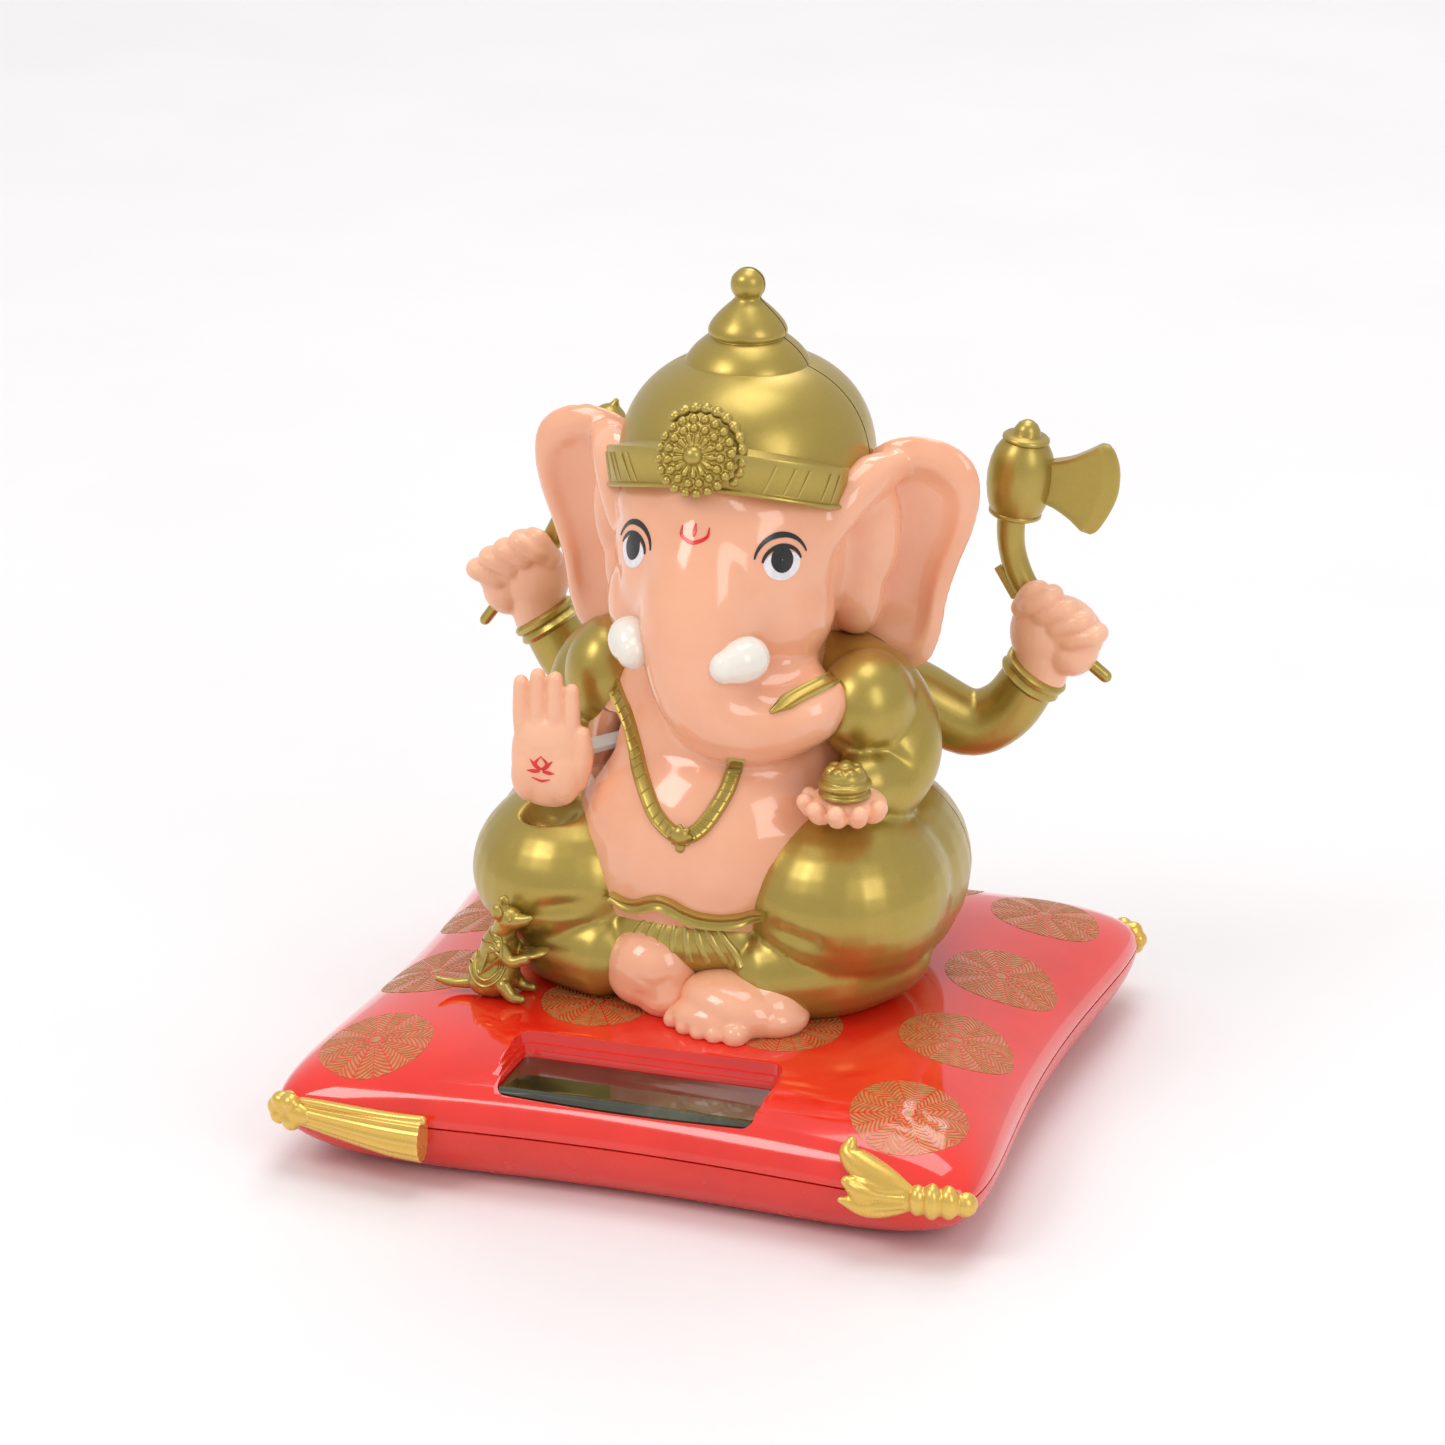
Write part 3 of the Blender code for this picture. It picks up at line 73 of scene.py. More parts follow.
# ------------------------------------------------------------------ materials
class Look:
    """A node material that is built up step by step."""

    def __init__(self, name):
        self.material = bpy.data.materials.new(name)
        self.material.use_nodes = True
        self.nodes = self.material.node_tree.nodes
        self.links = self.material.node_tree.links
        self.shader = self.nodes["Principled BSDF"]
        self.place = self.nodes.new("ShaderNodeTexCoord").outputs["Object"]

    def set(self, **values):
        for label, value in values.items():
            self.shader.inputs[label.replace("_", " ").title().replace("Ior", "IOR")].default_value = value
        return self

    def noise(self, scale, detail=3.0, rough=0.55):
        """Cloudy values fixed to the object."""
        node = self.nodes.new("ShaderNodeTexNoise")
        node.inputs["Scale"].default_value = scale
        node.inputs["Detail"].default_value = detail
        node.inputs["Roughness"].default_value = rough
        self.links.new(self.place, node.inputs["Vector"])
        return node.outputs["Fac"]

    def cells(self, scale):
        """Small flakes, each with its own colour."""
        node = self.nodes.new("ShaderNodeTexVoronoi")
        node.inputs["Scale"].default_value = scale
        self.links.new(self.place, node.inputs["Vector"])
        return node.outputs["Color"]

    def edges(self):
        """High on ridges and low in hollows."""
        return self.nodes.new("ShaderNodeNewGeometry").outputs["Pointiness"]

    def ramp(self, source, stops):
        """Values turned into colours by (place, colour) stops."""
        node = self.nodes.new("ShaderNodeValToRGB")
        ramp = node.color_ramp
        while len(ramp.elements) < len(stops):
            ramp.elements.new(0.5)
        for element, (place, colour) in zip(ramp.elements, stops):
            element.position = place
            element.color = (*colour, 1.0)
        self.links.new(source, node.inputs["Fac"])
        return node.outputs["Color"]

    def mix(self, factor, first, second):
        """A blend of two colours."""
        node = self.nodes.new("ShaderNodeMix")
        node.data_type = "RGBA"
        for label, value in (("Factor", factor), ("A", first), ("B", second)):
            socket = next(s for s in node.inputs if s.name == label and s.enabled)
            if hasattr(value, "is_output"):
                self.links.new(value, socket)
            elif label == "Factor":
                socket.default_value = value
            else:
                socket.default_value = (*value, 1.0)
        return next(s for s in node.outputs if s.enabled)

    def spread(self, source, low, high, start=0.3, end=0.7):
        """Values between start and end stretched to run from low to high."""
        node = self.nodes.new("ShaderNodeMapRange")
        node.inputs["From Min"].default_value = start
        node.inputs["From Max"].default_value = end
        node.inputs["To Min"].default_value = low
        node.inputs["To Max"].default_value = high
        self.links.new(source, node.inputs["Value"])
        return node.outputs["Result"]

    def feed(self, source, label):
        self.links.new(source, self.shader.inputs[label])
        return self

    def bump(self, source, strength, depth, after=None):
        node = self.nodes.new("ShaderNodeBump")
        node.inputs["Strength"].default_value = strength
        node.inputs["Distance"].default_value = depth * MM
        self.links.new(source, node.inputs["Height"])
        if after:
            self.links.new(after, node.inputs["Normal"])
        self.links.new(node.outputs["Normal"], self.shader.inputs["Normal"])
        return node.outputs["Normal"]


def moulded(name, colour, deep, roughness, coat=0.0, ripple=0.03):
    """Glossy moulded plastic: faint mottling, painted shade in the hollows, flow ripple, fine surface grain."""
    look = Look(name)
    tone = look.ramp(look.noise(90.0, 4.0), [(0.30, deep), (0.62, colour)])
    # painted shade: hollows and creases are darkened towards the deep colour by pointiness
    hollow_shade = look.ramp(look.edges(), [(0.40, deep), (0.52, colour)])
    look.feed(look.mix(0.30, tone, hollow_shade), "Base Color")
    look.feed(look.spread(look.noise(260.0, 5.0), roughness * 0.75, roughness * 1.35), "Roughness")
    look.set(coat_weight=coat, coat_roughness=0.03, ior=1.5)
    first = look.bump(look.noise(55.0, 2.0), ripple, 0.25)
    look.bump(look.noise(1500.0, 3.0), ripple * 0.8, 0.02, first)
    return look.material


def metallic(name, colour, pale, deep, roughness, flake=5200.0, metal=0.60):
    """Sprayed satin metal paint: fine flakes, painted shade in the hollows and a painted highlight on the
    ridges.
    """
    look = Look(name)
    flakes = look.ramp(look.cells(flake), [(0.15, deep), (0.55, colour), (0.98, pale)])
    cloud = look.ramp(look.noise(46.0, 3.0), [(0.25, deep), (0.62, colour)])
    base = look.mix(0.70, flakes, cloud)
    base = look.mix(0.55, base, colour)
    # painted shade and highlight: hollows are darkened and ridges paled by pointiness
    shade_and_highlight = look.ramp(look.edges(), [(0.43, deep), (0.50, colour), (0.57, pale)])
    look.feed(look.mix(0.30, base, shade_and_highlight), "Base Color")
    look.feed(look.spread(look.noise(500.0, 3.0), roughness * 0.92, roughness * 1.10), "Roughness")
    look.set(metallic=metal, coat_weight=0.22, coat_roughness=0.20)
    first = look.bump(look.cells(flake), 0.05, 0.012)
    look.bump(look.noise(1200.0, 2.0), 0.05, 0.02, first)
    return look.material


def tinted_pane(name):
    """Dark tinted pane with faint swirls."""
    look = Look(name)
    swirl = look.noise(60.0, 6.0, 0.7)
    look.feed(look.ramp(swirl, [(0.30, (0.006, 0.007, 0.003)), (0.55, (0.030, 0.034, 0.014)),
                                (0.75, (0.090, 0.095, 0.050))]), "Base Color")
    look.feed(look.spread(look.noise(140.0, 3.0), 0.03, 0.12), "Roughness")
    look.set(ior=1.52, coat_weight=1.0, coat_roughness=0.02)
    look.bump(swirl, 0.10, 0.25)
    return look.material


def printed(name, colour, dark, roughness=0.35, metal=0.0):
    """Printed ink with a slightly uneven coat."""
    look = Look(name)
    look.feed(look.ramp(look.noise(900.0, 4.0), [(0.35, dark), (0.60, colour)]), "Base Color")
    look.feed(look.spread(look.noise(1300.0, 2.0), roughness * 0.8, roughness * 1.3), "Roughness")
    look.set(metallic=metal, coat_weight=0.4, coat_roughness=0.08)
    look.bump(look.noise(2200.0, 2.0), 0.05, 0.02)
    return look.material


def brushed(name, colour, dark, roughness=0.25, stretch=(1.0, 1.0, 14.0), metal=1.0):
    """Turned or wound metal, with fine lines round or along the part."""
    look = Look(name)
    scaling = look.nodes.new("ShaderNodeMapping")
    scaling.inputs["Scale"].default_value = stretch
    look.links.new(look.place, scaling.inputs["Vector"])
    look.place = scaling.outputs["Vector"]
    lines = look.noise(420.0, 5.0, 0.6)
    look.feed(look.ramp(lines, [(0.30, dark), (0.65, colour)]), "Base Color")
    look.feed(look.spread(lines, roughness * 0.7, roughness * 1.5), "Roughness")
    look.set(metallic=metal)
    look.bump(lines, 0.15, 0.03)
    return look.material


RED = moulded("red_plastic_look", (0.86, 0.022, 0.009), (0.72, 0.014, 0.006), 0.10, 0.8)
RED_LOW = moulded("red_plastic_low_look", (0.80, 0.026, 0.012), (0.66, 0.018, 0.009), 0.22, 0.3)
PEACH = moulded("peach_plastic_look", (0.93, 0.47, 0.29), (0.88, 0.40, 0.23), 0.13, 0.5)
SOFT_PEACH = moulded("peach_satin_look", (0.95, 0.54, 0.345), (0.91, 0.46, 0.275), 0.32, 0.15)
GOLD = metallic("gold_paint_look", (0.47, 0.345, 0.075), (0.62, 0.51, 0.17), (0.34, 0.23, 0.045), 0.34,
                metal=0.78)
TASSEL = metallic("tassel_gold_look", (0.78, 0.50, 0.10), (0.94, 0.70, 0.26), (0.60, 0.33, 0.045), 0.28)
IVORY = moulded("ivory_look", (0.90, 0.85, 0.76), (0.80, 0.73, 0.62), 0.16, 0.4)
PANE = tinted_pane("window_look")
MEDAL = printed("medallion_ink_look", (0.52, 0.29, 0.085), (0.42, 0.20, 0.050), 0.36, 0.20)
BLACK_INK = printed("black_ink_look", (0.012, 0.011, 0.012), (0.004, 0.004, 0.005), 0.18)
WHITE_INK = printed("white_ink_look", (0.88, 0.85, 0.86), (0.76, 0.72, 0.74), 0.20)
RED_INK = printed("red_ink_look", (0.80, 0.010, 0.012), (0.62, 0.006, 0.008), 0.25)
WHITE = moulded("white_plastic_look", (0.74, 0.74, 0.70), (0.62, 0.62, 0.58), 0.40)
BLACK = moulded("black_plastic_look", (0.018, 0.018, 0.020), (0.009, 0.009, 0.010), 0.38)
BOARD = printed("board_look", (0.030, 0.200, 0.060), (0.020, 0.130, 0.045), 0.45)
CELL = printed("cell_look", (0.030, 0.022, 0.060), (0.010, 0.008, 0.022), 0.12)
RED_WIRE = moulded("red_wire_look", (0.60, 0.020, 0.015), (0.42, 0.012, 0.010), 0.42)
BLACK_WIRE = moulded("black_wire_look", (0.020, 0.020, 0.022), (0.010, 0.010, 0.011), 0.42)
STEEL = brushed("steel_look", (0.58, 0.58, 0.60), (0.36, 0.36, 0.38), 0.28)
NICKEL = brushed("nickel_look", (0.66, 0.65, 0.62), (0.50, 0.49, 0.46), 0.16)
COPPER = brushed("copper_look", (0.80, 0.34, 0.15), (0.42, 0.14, 0.05), 0.25, (1.0, 1.0, 30.0))


# ---------------------------------------------------------------- mesh shapes
def new_object(name, shapes):
    """One object from (points, faces) pairs in millimetres."""
    points, faces, count = [], [], 0
    for shape_points, shape_faces in shapes:
        points.extend(map(tuple, np.asarray(shape_points, float) * MM))
        faces.extend([tuple(i + count for i in face) for face in shape_faces])
        count = len(points)
    mesh = bpy.data.meshes.new(name)
    mesh.from_pydata(points, [], faces)
    mesh.update()
    item = bpy.data.objects.new(name, mesh)
    bpy.context.scene.collection.objects.link(item)
    return item


def turn_matrix(degrees):
    """Turns about X, then Y, then Z."""
    x, y, z = [math.radians(value) for value in degrees]
    turn = Matrix.Rotation(z, 3, "Z") @ Matrix.Rotation(y, 3, "Y") @ Matrix.Rotation(x, 3, "X")
    return np.array(turn)


def ellipsoid(centre, radii, turn=(0, 0, 0), rings=18, sides=30, power=2.0):
    """An ellipsoid, or with a higher power a fuller, squarer one."""
    def shaped(value):
        return math.copysign(abs(value) ** (2 / power), value)

    points, faces = [(0, 0, 1)], []
    for ring in range(1, rings):
        angle = math.pi * ring / rings
        for side in range(sides):
            around = 2 * math.pi * side / sides
            out = shaped(math.sin(angle))
            points.append((out * math.cos(around), out * math.sin(around), shaped(math.cos(angle))))
    points.append((0, 0, -1))
    last = len(points) - 1
    for side in range(sides):
        after = (side + 1) % sides
        faces.append((0, 1 + side, 1 + after))
        base = 1 + (rings - 2) * sides
        faces.append((last, base + after, base + side))
        for ring in range(rings - 2):
            a, b = 1 + ring * sides, 1 + (ring + 1) * sides
            faces.append((a + side, b + side, b + after, a + after))
    return np.array(points) * radii @ turn_matrix(turn).T + centre, faces


def curve(points, steps=8):
    """Catmull-Rom curve through points of any dimension."""
    points = np.asarray(points, float)
    padded = np.vstack([2 * points[0] - points[1], points, 2 * points[-1] - points[-2]])
    out = []
    for i in range(1, len(padded) - 2):
        a, b, c, d = padded[i - 1 : i + 3]
        for step in range(steps):
            t = step / steps
            out.append(0.5 * (2 * b + (c - a) * t + (2 * a - 5 * b + 4 * c - d) * t**2
                              + (3 * b - 3 * c + d - a) * t**3))
    out.append(points[-1])
    return np.array(out)


def places_from(x, y, z):
    """A function that gives points by their distances from (x, y, z)."""
    return lambda dx, dy, dz: np.array([x + dx, y + dy, z + dz])


def unit(vector):
    vector = np.asarray(vector, float)
    return vector / max(np.linalg.norm(vector), 1e-9)


def frames(path):
    """Tangent and two side directions along a path, without twist."""
    tangents = [unit(path[min(i + 1, len(path) - 1)] - path[max(i - 1, 0)]) for i in range(len(path))]
    side = unit(np.cross(tangents[0], (0, 0, 1) if abs(tangents[0][2]) < 0.9 else (0, 1, 0)))
    out = []
    for tangent in tangents:
        side = unit(side - tangent * (side @ tangent))
        out.append((tangent, side, np.cross(tangent, side)))
    return out


def pipe_faces(rings, sides, turned=False, closed=False, ends=True):
    """Faces that join rings of points, and close the first and the last ring."""
    faces = []
    for ring in range(rings if closed else rings - 1):
        a, b = ring * sides, (ring + 1) % rings * sides
        for side in range(sides):
            after = (side + 1) % sides
            faces.append((a + side, b + side, b + after, a + after) if turned
                         else (a + side, a + after, b + after, b + side))
    if ends and not closed:
        first, last = tuple(range(sides)), tuple(range((rings - 1) * sides, rings * sides))
        faces += [first, last[::-1]] if turned else [first[::-1], last]
    return faces


def tube(points, radii, sides=20, steps=6, flat=1.0, lobes=0, depth=0.0, blunt=False):
    """A bent tube with rounded ends; lobes and depth flute its section."""
    rows = curve(np.column_stack([points, radii]), steps)
    path, sizes = rows[:, :3], rows[:, 3]
    directions = frames(path)
    start, end = directions[0][0], directions[-1][0]
    caps = [] if blunt else [(math.sin(a), math.cos(a)) for a in np.radians([78, 52, 26])]
    first = [(path[0] - start * sizes[0] * s, sizes[0] * c, directions[0]) for s, c in caps]
    last = [(path[-1] + end * sizes[-1] * s, sizes[-1] * c, directions[-1]) for s, c in caps[::-1]]
    rings = first + list(zip(path, sizes, directions)) + last
    points = []
    for centre, size, (_, one, two) in rings:
        for side in range(sides):
            angle = 2 * math.pi * side / sides
            radius = size * (1 + depth * math.cos(lobes * angle))
            points.append(centre + radius * (math.cos(angle) * one + flat * math.sin(angle) * two))
    return np.array(points), pipe_faces(len(rings), sides)


def lathe(profile, centre, sides=96, turn=(0, 0, 0), scale=(1, 1)):
    """A turned shape from (radius, height) pairs, closed at both ends on the axis."""
    points = []
    for radius, height in profile:
        for side in range(sides):
            angle = 2 * math.pi * side / sides
            points.append((radius * math.cos(angle) * scale[0], radius * math.sin(angle) * scale[1], height))
    return np.array(points) @ turn_matrix(turn).T + centre, pipe_faces(len(profile), sides, True)


def apply(item):
    """Bake the modifiers into the mesh."""
    graph = bpy.context.evaluated_depsgraph_get()
    mesh = bpy.data.meshes.new_from_object(item.evaluated_get(graph))
    item.modifiers.clear()
    item.data = mesh
    return item


def coordinates(item):
    """The mesh points, in millimetres."""
    values = np.zeros(len(item.data.vertices) * 3)
    item.data.vertices.foreach_get("co", values)
    return values.reshape(-1, 3) / MM


def set_coordinates(item, values):
    item.data.vertices.foreach_set("co", (np.asarray(values) * MM).ravel())
    item.data.update()


def normals(item):
    values = np.zeros(len(item.data.vertices) * 3)
    item.data.vertices.foreach_get("normal", values)
    return values.reshape(-1, 3)


def lump(name, shapes, voxel=0.5, smooth=5, sculpt=None):
    """Overlapping closed shapes melted into one smooth skin."""
    item = new_object(name, shapes)
    remesh = item.modifiers.new("remesh", "REMESH")
    remesh.mode = "VOXEL"
    remesh.voxel_size = voxel * MM
    apply(item)
    relax = item.modifiers.new("relax", "SMOOTH")
    relax.factor = 0.5
    relax.iterations = smooth
    apply(item)
    if sculpt:
        set_coordinates(item, sculpt(coordinates(item), normals(item)))
    return item


def relax(item, weight, times):
    """Melt the part of a skin where weight(points) is above zero."""
    shares = np.clip(weight(coordinates(item)), 0, 1)
    group = item.vertex_groups.new(name="melt")
    for level in range(1, 11):
        chosen = np.nonzero(np.round(shares * 10) == level)[0]
        group.add([int(i) for i in chosen], level / 10, "REPLACE")
    smooth = item.modifiers.new("melt", "SMOOTH")
    smooth.factor = 0.5
    smooth.iterations = times
    smooth.vertex_group = "melt"
    apply(item)
    item.vertex_groups.clear()
    return item


def subtract(item, *shapes, solver="MANIFOLD"):
    """Cut closed shapes out of an object."""
    for shape in shapes:
        cutter = new_object("cutter", [shape])
        modifier = item.modifiers.new("cut", "BOOLEAN")
        modifier.operation = "DIFFERENCE"
        modifier.solver = solver
        modifier.object = cutter
        apply(item)
        bpy.data.objects.remove(cutter, do_unlink=True)
    return item


def half(item, name, plane, keep_front):
    """A copy of an object on one side of an XZ plane, closed where it is cut."""
    copy = bpy.data.objects.new(name, item.data.copy())
    bpy.context.scene.collection.objects.link(copy)
    shape = bmesh.new()
    shape.from_mesh(copy.data)
    everything = list(shape.verts) + list(shape.edges) + list(shape.faces)
    cut = bmesh.ops.bisect_plane(shape, geom=everything, plane_co=(0, plane * MM, 0),
                                 plane_no=(0, 1, 0), clear_outer=keep_front,
                                 clear_inner=not keep_front)
    rim = [e for e in cut["geom_cut"] if isinstance(e, bmesh.types.BMEdge) and e.is_boundary]
    filled = bmesh.ops.holes_fill(shape, edges=rim, sides=0)
    bmesh.ops.triangulate(shape, faces=filled["faces"])
    for edge in shape.edges:
        if len(edge.link_faces) == 2 and edge.calc_face_angle(0) > 0.9:
            edge.smooth = False
    shape.to_mesh(copy.data)
    shape.free()
    return copy


def split(item):
    """Front and rear halves, with a straight joint."""
    front = half(item, f"{item.name}_front", SPLIT_Y - SEAM_GAP / 2, True)
    rear = half(item, f"{item.name}_rear", SPLIT_Y + SEAM_GAP / 2, False)
    bpy.data.objects.remove(item, do_unlink=True)
    return front, rear


def prism(outline, low, high):
    """An upright solid over an outline of (x, y) points."""
    count = len(outline)
    points = [(x, y, low) for x, y in outline] + [(x, y, high) for x, y in outline]
    faces = [tuple(range(count)), tuple(range(count, 2 * count))[::-1]]
    faces += [(i, i + count, (i + 1) % count + count, (i + 1) % count) for i in range(count)]
    return flipped((np.array(points, float), faces))


def split_behind_ears(item):
    """Front and rear halves whose joint steps back, so that the ears stay on the front half."""
    pieces, name, far = [], item.name, 60
    for label, line, reach in (("front", SPLIT_Y - SEAM_GAP / 2, far), ("rear", SPLIT_Y + SEAM_GAP / 2, -far)):
        step = line + EAR_ROOM
        outline = [(-far, reach), (-far, step), (-EAR_ROOT, step), (-EAR_ROOT, line),
                   (EAR_ROOT, line), (EAR_ROOT, step), (far, step), (far, reach)]
        copy = bpy.data.objects.new(f"{name}_{label}", item.data.copy())
        bpy.context.scene.collection.objects.link(copy)
        pieces.append(subtract(copy, prism(outline, 0, 140)))
    bpy.data.objects.remove(item, do_unlink=True)
    return pieces


def dress(item, material, *replaces, body=FIXED, angle=None):
    """Material, smooth shading, body and the CAD nodes it stands for."""
    item.data.materials.clear()
    item.data.materials.append(material)
    item.data.shade_smooth()
    if angle:
        item.data.set_sharp_from_angle(angle=math.radians(angle))
    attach(item, body)
    if replaces:
        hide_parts(*replaces)
    return item


def dress_halves(halves, material):
    """Looks of the two halves of something moulded with the figure's shells."""
    front, rear = halves
    dress(front, material, "front_shell")
    dress(rear, material, "rear_shell")
    return front


def tree_of(item):
    """For projecting details on to an object."""
    item.data.calc_loop_triangles()
    return BVHTree.FromPolygons([v.co / MM for v in item.data.vertices],
                                [tuple(t.vertices) for t in item.data.loop_triangles])


def project(tree, point, direction):
    """Where a ray from a point meets the surface, and the normal there."""
    direction = Vector(direction).normalized()
    hit, normal, _, _ = tree.ray_cast(Vector(point), direction)
    if hit is None:
        hit, normal, _, _ = tree.find_nearest(Vector(point))
    if normal.dot(direction) > 0:
        normal = -normal
    return np.array(hit), np.array(normal)


def smoothed(rows, passes=3):
    """Rows averaged with their neighbours; the first and the last stay."""
    rows = np.array(rows, float)
    for _ in range(passes):
        rows[1:-1] = (rows[:-2] + 2 * rows[1:-1] + rows[2:]) / 4
    return rows


def strip(places, outward, profile, widths=1.0, closed=False):
    """A moulding: a closed section of (across, height) carried along surface points."""
    places, outward = np.asarray(places, float), np.asarray(outward, float)
    count = len(places)
    widths = np.ones(count) * widths
    points = []
    for i in range(count):
        before, after = (i - 1, (i + 1) % count) if closed else (max(i - 1, 0), min(i + 1, count - 1))
        tangent = unit(places[after] - places[before])
        up = unit(outward[i] - tangent * (outward[i] @ tangent))
        side = np.cross(tangent, up)
        for across, height in profile:
            points.append(places[i] + side * across * widths[i] + up * height)
    return np.array(points), pipe_faces(count, len(profile), True, closed)


def flipped(shape):
    """The same shape with outward faces, whatever way it was wound."""
    points, faces = shape
    volume = 0.0
    for face in faces:
        for i in range(1, len(face) - 1):
            a, b, c = points[face[0]], points[face[i]], points[face[i + 1]]
            volume += np.dot(a, np.cross(b, c))
    return (points, [face[::-1] for face in faces]) if volume < 0 else shape


def rim_loop(rows, columns):
    """Numbers of the points round the edge of a grid, in order."""
    loop = list(range(columns)) + [i * columns + columns - 1 for i in range(1, rows)]
    loop += [(rows - 1) * columns + j for j in range(columns - 2, -1, -1)]
    return loop + [i * columns for i in range(rows - 2, 0, -1)]


def slab(upper, lower, columns):
    """A closed solid between two grids of points that match."""
    count, faces = len(upper), []
    rows = count // columns
    for i in range(rows - 1):
        for j in range(columns - 1):
            a = i * columns + j
            faces.append((a, a + 1, a + columns + 1, a + columns))
            faces.append((count + a, count + a + columns, count + a + columns + 1, count + a + 1))
    loop = rim_loop(rows, columns)
    for a, b in zip(loop, loop[1:] + loop[:1]):
        faces.append((b, a, count + a, count + b))
    return flipped((np.array([*upper, *lower], float), faces))


def patch(rows, place, lift=0.06, sink=0.10):
    """A thin closed print between rows of (u, v) points, laid on place(u, v)."""
    spots = [place(u, v) for row in rows for u, v in row]
    top = [point + normal * lift for point, normal in spots]
    low = [point - normal * sink for point, normal in spots]
    return slab(top, low, len(rows[0]))


def between(first, second, rows=3):
    """Rows of points that lead from one line to another."""
    first, second = np.asarray(first, float), np.asarray(second, float)
    return [first + (second - first) * i / (rows - 1) for i in range(rows)]


# -------------------------------------------------------------------- cushion
def plan(u, v):
    """Half width and half depth of the cushion's outline, drawn in between rounded corners."""
    corner = CORNER * abs(u * v) ** ROUND
    return HALF_X - PINCH * (1 - v * v) - corner, HALF_Y - PINCH * (1 - u * u) - corner


def crowned(u, v, rim, crown):
    """Height at a share of the way from the middle to the outline."""
    rise = max(1 - abs(u) ** ROUND, 0) * max(1 - abs(v) ** ROUND, 0)
    return rim + (crown - rim) * math.sqrt(rise)


def cushion_height(x, y, rim=TOP_LOW.z, crown=CROWN):
    """Height of the cushion's surface over a point, by undoing its plan."""
    u, v = x / HALF_X, y / HALF_Y
    for _ in range(5):
        corner = CORNER * abs(u * v) ** ROUND
        u = x / (HALF_X - PINCH * (1 - v * v) - corner)
        v = y / (HALF_Y - PINCH * (1 - u * u) - corner)
    return crowned(u, v, rim, crown)


def pillow(name, rim, crown, floor=-math.inf, lines=110):
    """Half a cushion with its sides drawn in and its corners rounded."""
    grid = np.sin(np.linspace(-1, 1, lines) * math.pi / 2)
    points, faces = [], []
    for v in grid:
        for u in grid:
            wide, deep = plan(u, v)
            points.append((u * wide, v * deep, max(crowned(u, v, rim, crown), floor)))
    for i in range(lines - 1):
        for j in range(lines - 1):
            a = i * lines + j
            faces.append((a, a + 1, a + lines + 1, a + lines))
    middle = len(points)
    points.append((0, 0, rim))
    loop = rim_loop(lines, lines)
    faces += [(middle, b, a) for a, b in zip(loop, loop[1:] + loop[:1])]
    return new_object(name, [flipped((np.array(points, float), faces))])


def rounded_box(low, high, radius, corners=6, bottom_shrink=0.0):
    """A box whose upright edges are rounded, for recesses."""
    points, faces = [], []
    loop = []
    for cx, cy, start in ((1, 1, 0), (-1, 1, 90), (-1, -1, 180), (1, -1, 270)):
        for step in range(corners + 1):
            angle = math.radians(start + 90 * step / corners)
            x = (high[0] if cx > 0 else low[0]) - cx * radius + radius * math.cos(angle)
            y = (high[1] if cy > 0 else low[1]) - cy * radius + radius * math.sin(angle)
            loop.append((x, y))
    middle = (np.array(low) + np.array(high)) / 2
    for z, shrink in ((low[2], bottom_shrink), (high[2], 0.0)):
        for x, y in loop:
            points.append((x - math.copysign(shrink, x - middle[0]),
                           y - math.copysign(shrink, y - middle[1]), z))
    size = len(loop)
    faces.append(tuple(range(size))[::-1])
    faces.append(tuple(range(size, 2 * size)))
    for i in range(size):
        after = (i + 1) % size
        faces.append((i, after, size + after, size + i))
    return np.array(points), faces


def build_cushion():
    """The upper shell with its recess, the underside and the dark pane."""
    gap = TOP_LOW.z - SEAM_Z
    top = pillow("cushion_shell", SEAM_Z + gap, CROWN)
    left, right = PANE_LOW.x - 0.3, PANE_HIGH.x + 0.3
    front, rear = PANE_LOW.y - 0.35, PANE_HIGH.y + 0.3
    pane_top = PANE_HIGH.z
    # the opening, and two shallow steps round its rear and its sides
    subtract(
        top,
        rounded_box((left - 1.5, front - 3.0, pane_top + 1.9), (right + 1.5, rear + 1.7, 30), 2.6, 6, 0.5),
        rounded_box((left - 0.7, front - 3.0, pane_top + 1.0), (right + 0.7, rear + 0.8, 30), 2.0, 6, 0.3),
        rounded_box((left, front, TOP_LOW.z + 2.0), (right, rear, 30), 1.5),
        solver="EXACT",
    )
    edge = top.modifiers.new("edge", "BEVEL")
    edge.width = 0.22 * MM
    edge.segments = 2
    edge.limit_method = "ANGLE"
    edge.angle_limit = math.radians(38)
    apply(top)
    dress(top, RED, "cushion_top", angle=40)
    low = pillow("cushion_underside", SEAM_Z - gap, -4.0, 0.0)
    dress(low, RED_LOW, "cushion_bottom", angle=40)
    # the pane follows the cushion's front roll, a hair below it
    columns, rows = 60, 24
    upper = []
    for j in range(rows):
        for i in range(columns):
            x = PANE_LOW.x + (PANE_HIGH.x - PANE_LOW.x) * i / (columns - 1)
            y = PANE_LOW.y + (PANE_HIGH.y - PANE_LOW.y) * j / (rows - 1)
            upper.append((x, y, min(pane_top, cushion_height(x, y, SEAM_Z + gap, CROWN) - 0.12)))
    pane = new_object("window_pane", [slab(upper, [(x, y, z - 1.0) for x, y, z in upper], columns)])
    dress(pane, PANE, "solar_window", angle=40)


def on_cushion(x, y, step=0.05):
    """Surface point and normal of the cushion's top."""
    z = cushion_height(x, y)
    slope_x = (cushion_height(x + step, y) - z) / step
    slope_y = (cushion_height(x, y + step) - z) / step
    return np.array([x, y, z]), unit((-slope_x, -slope_y, 1))


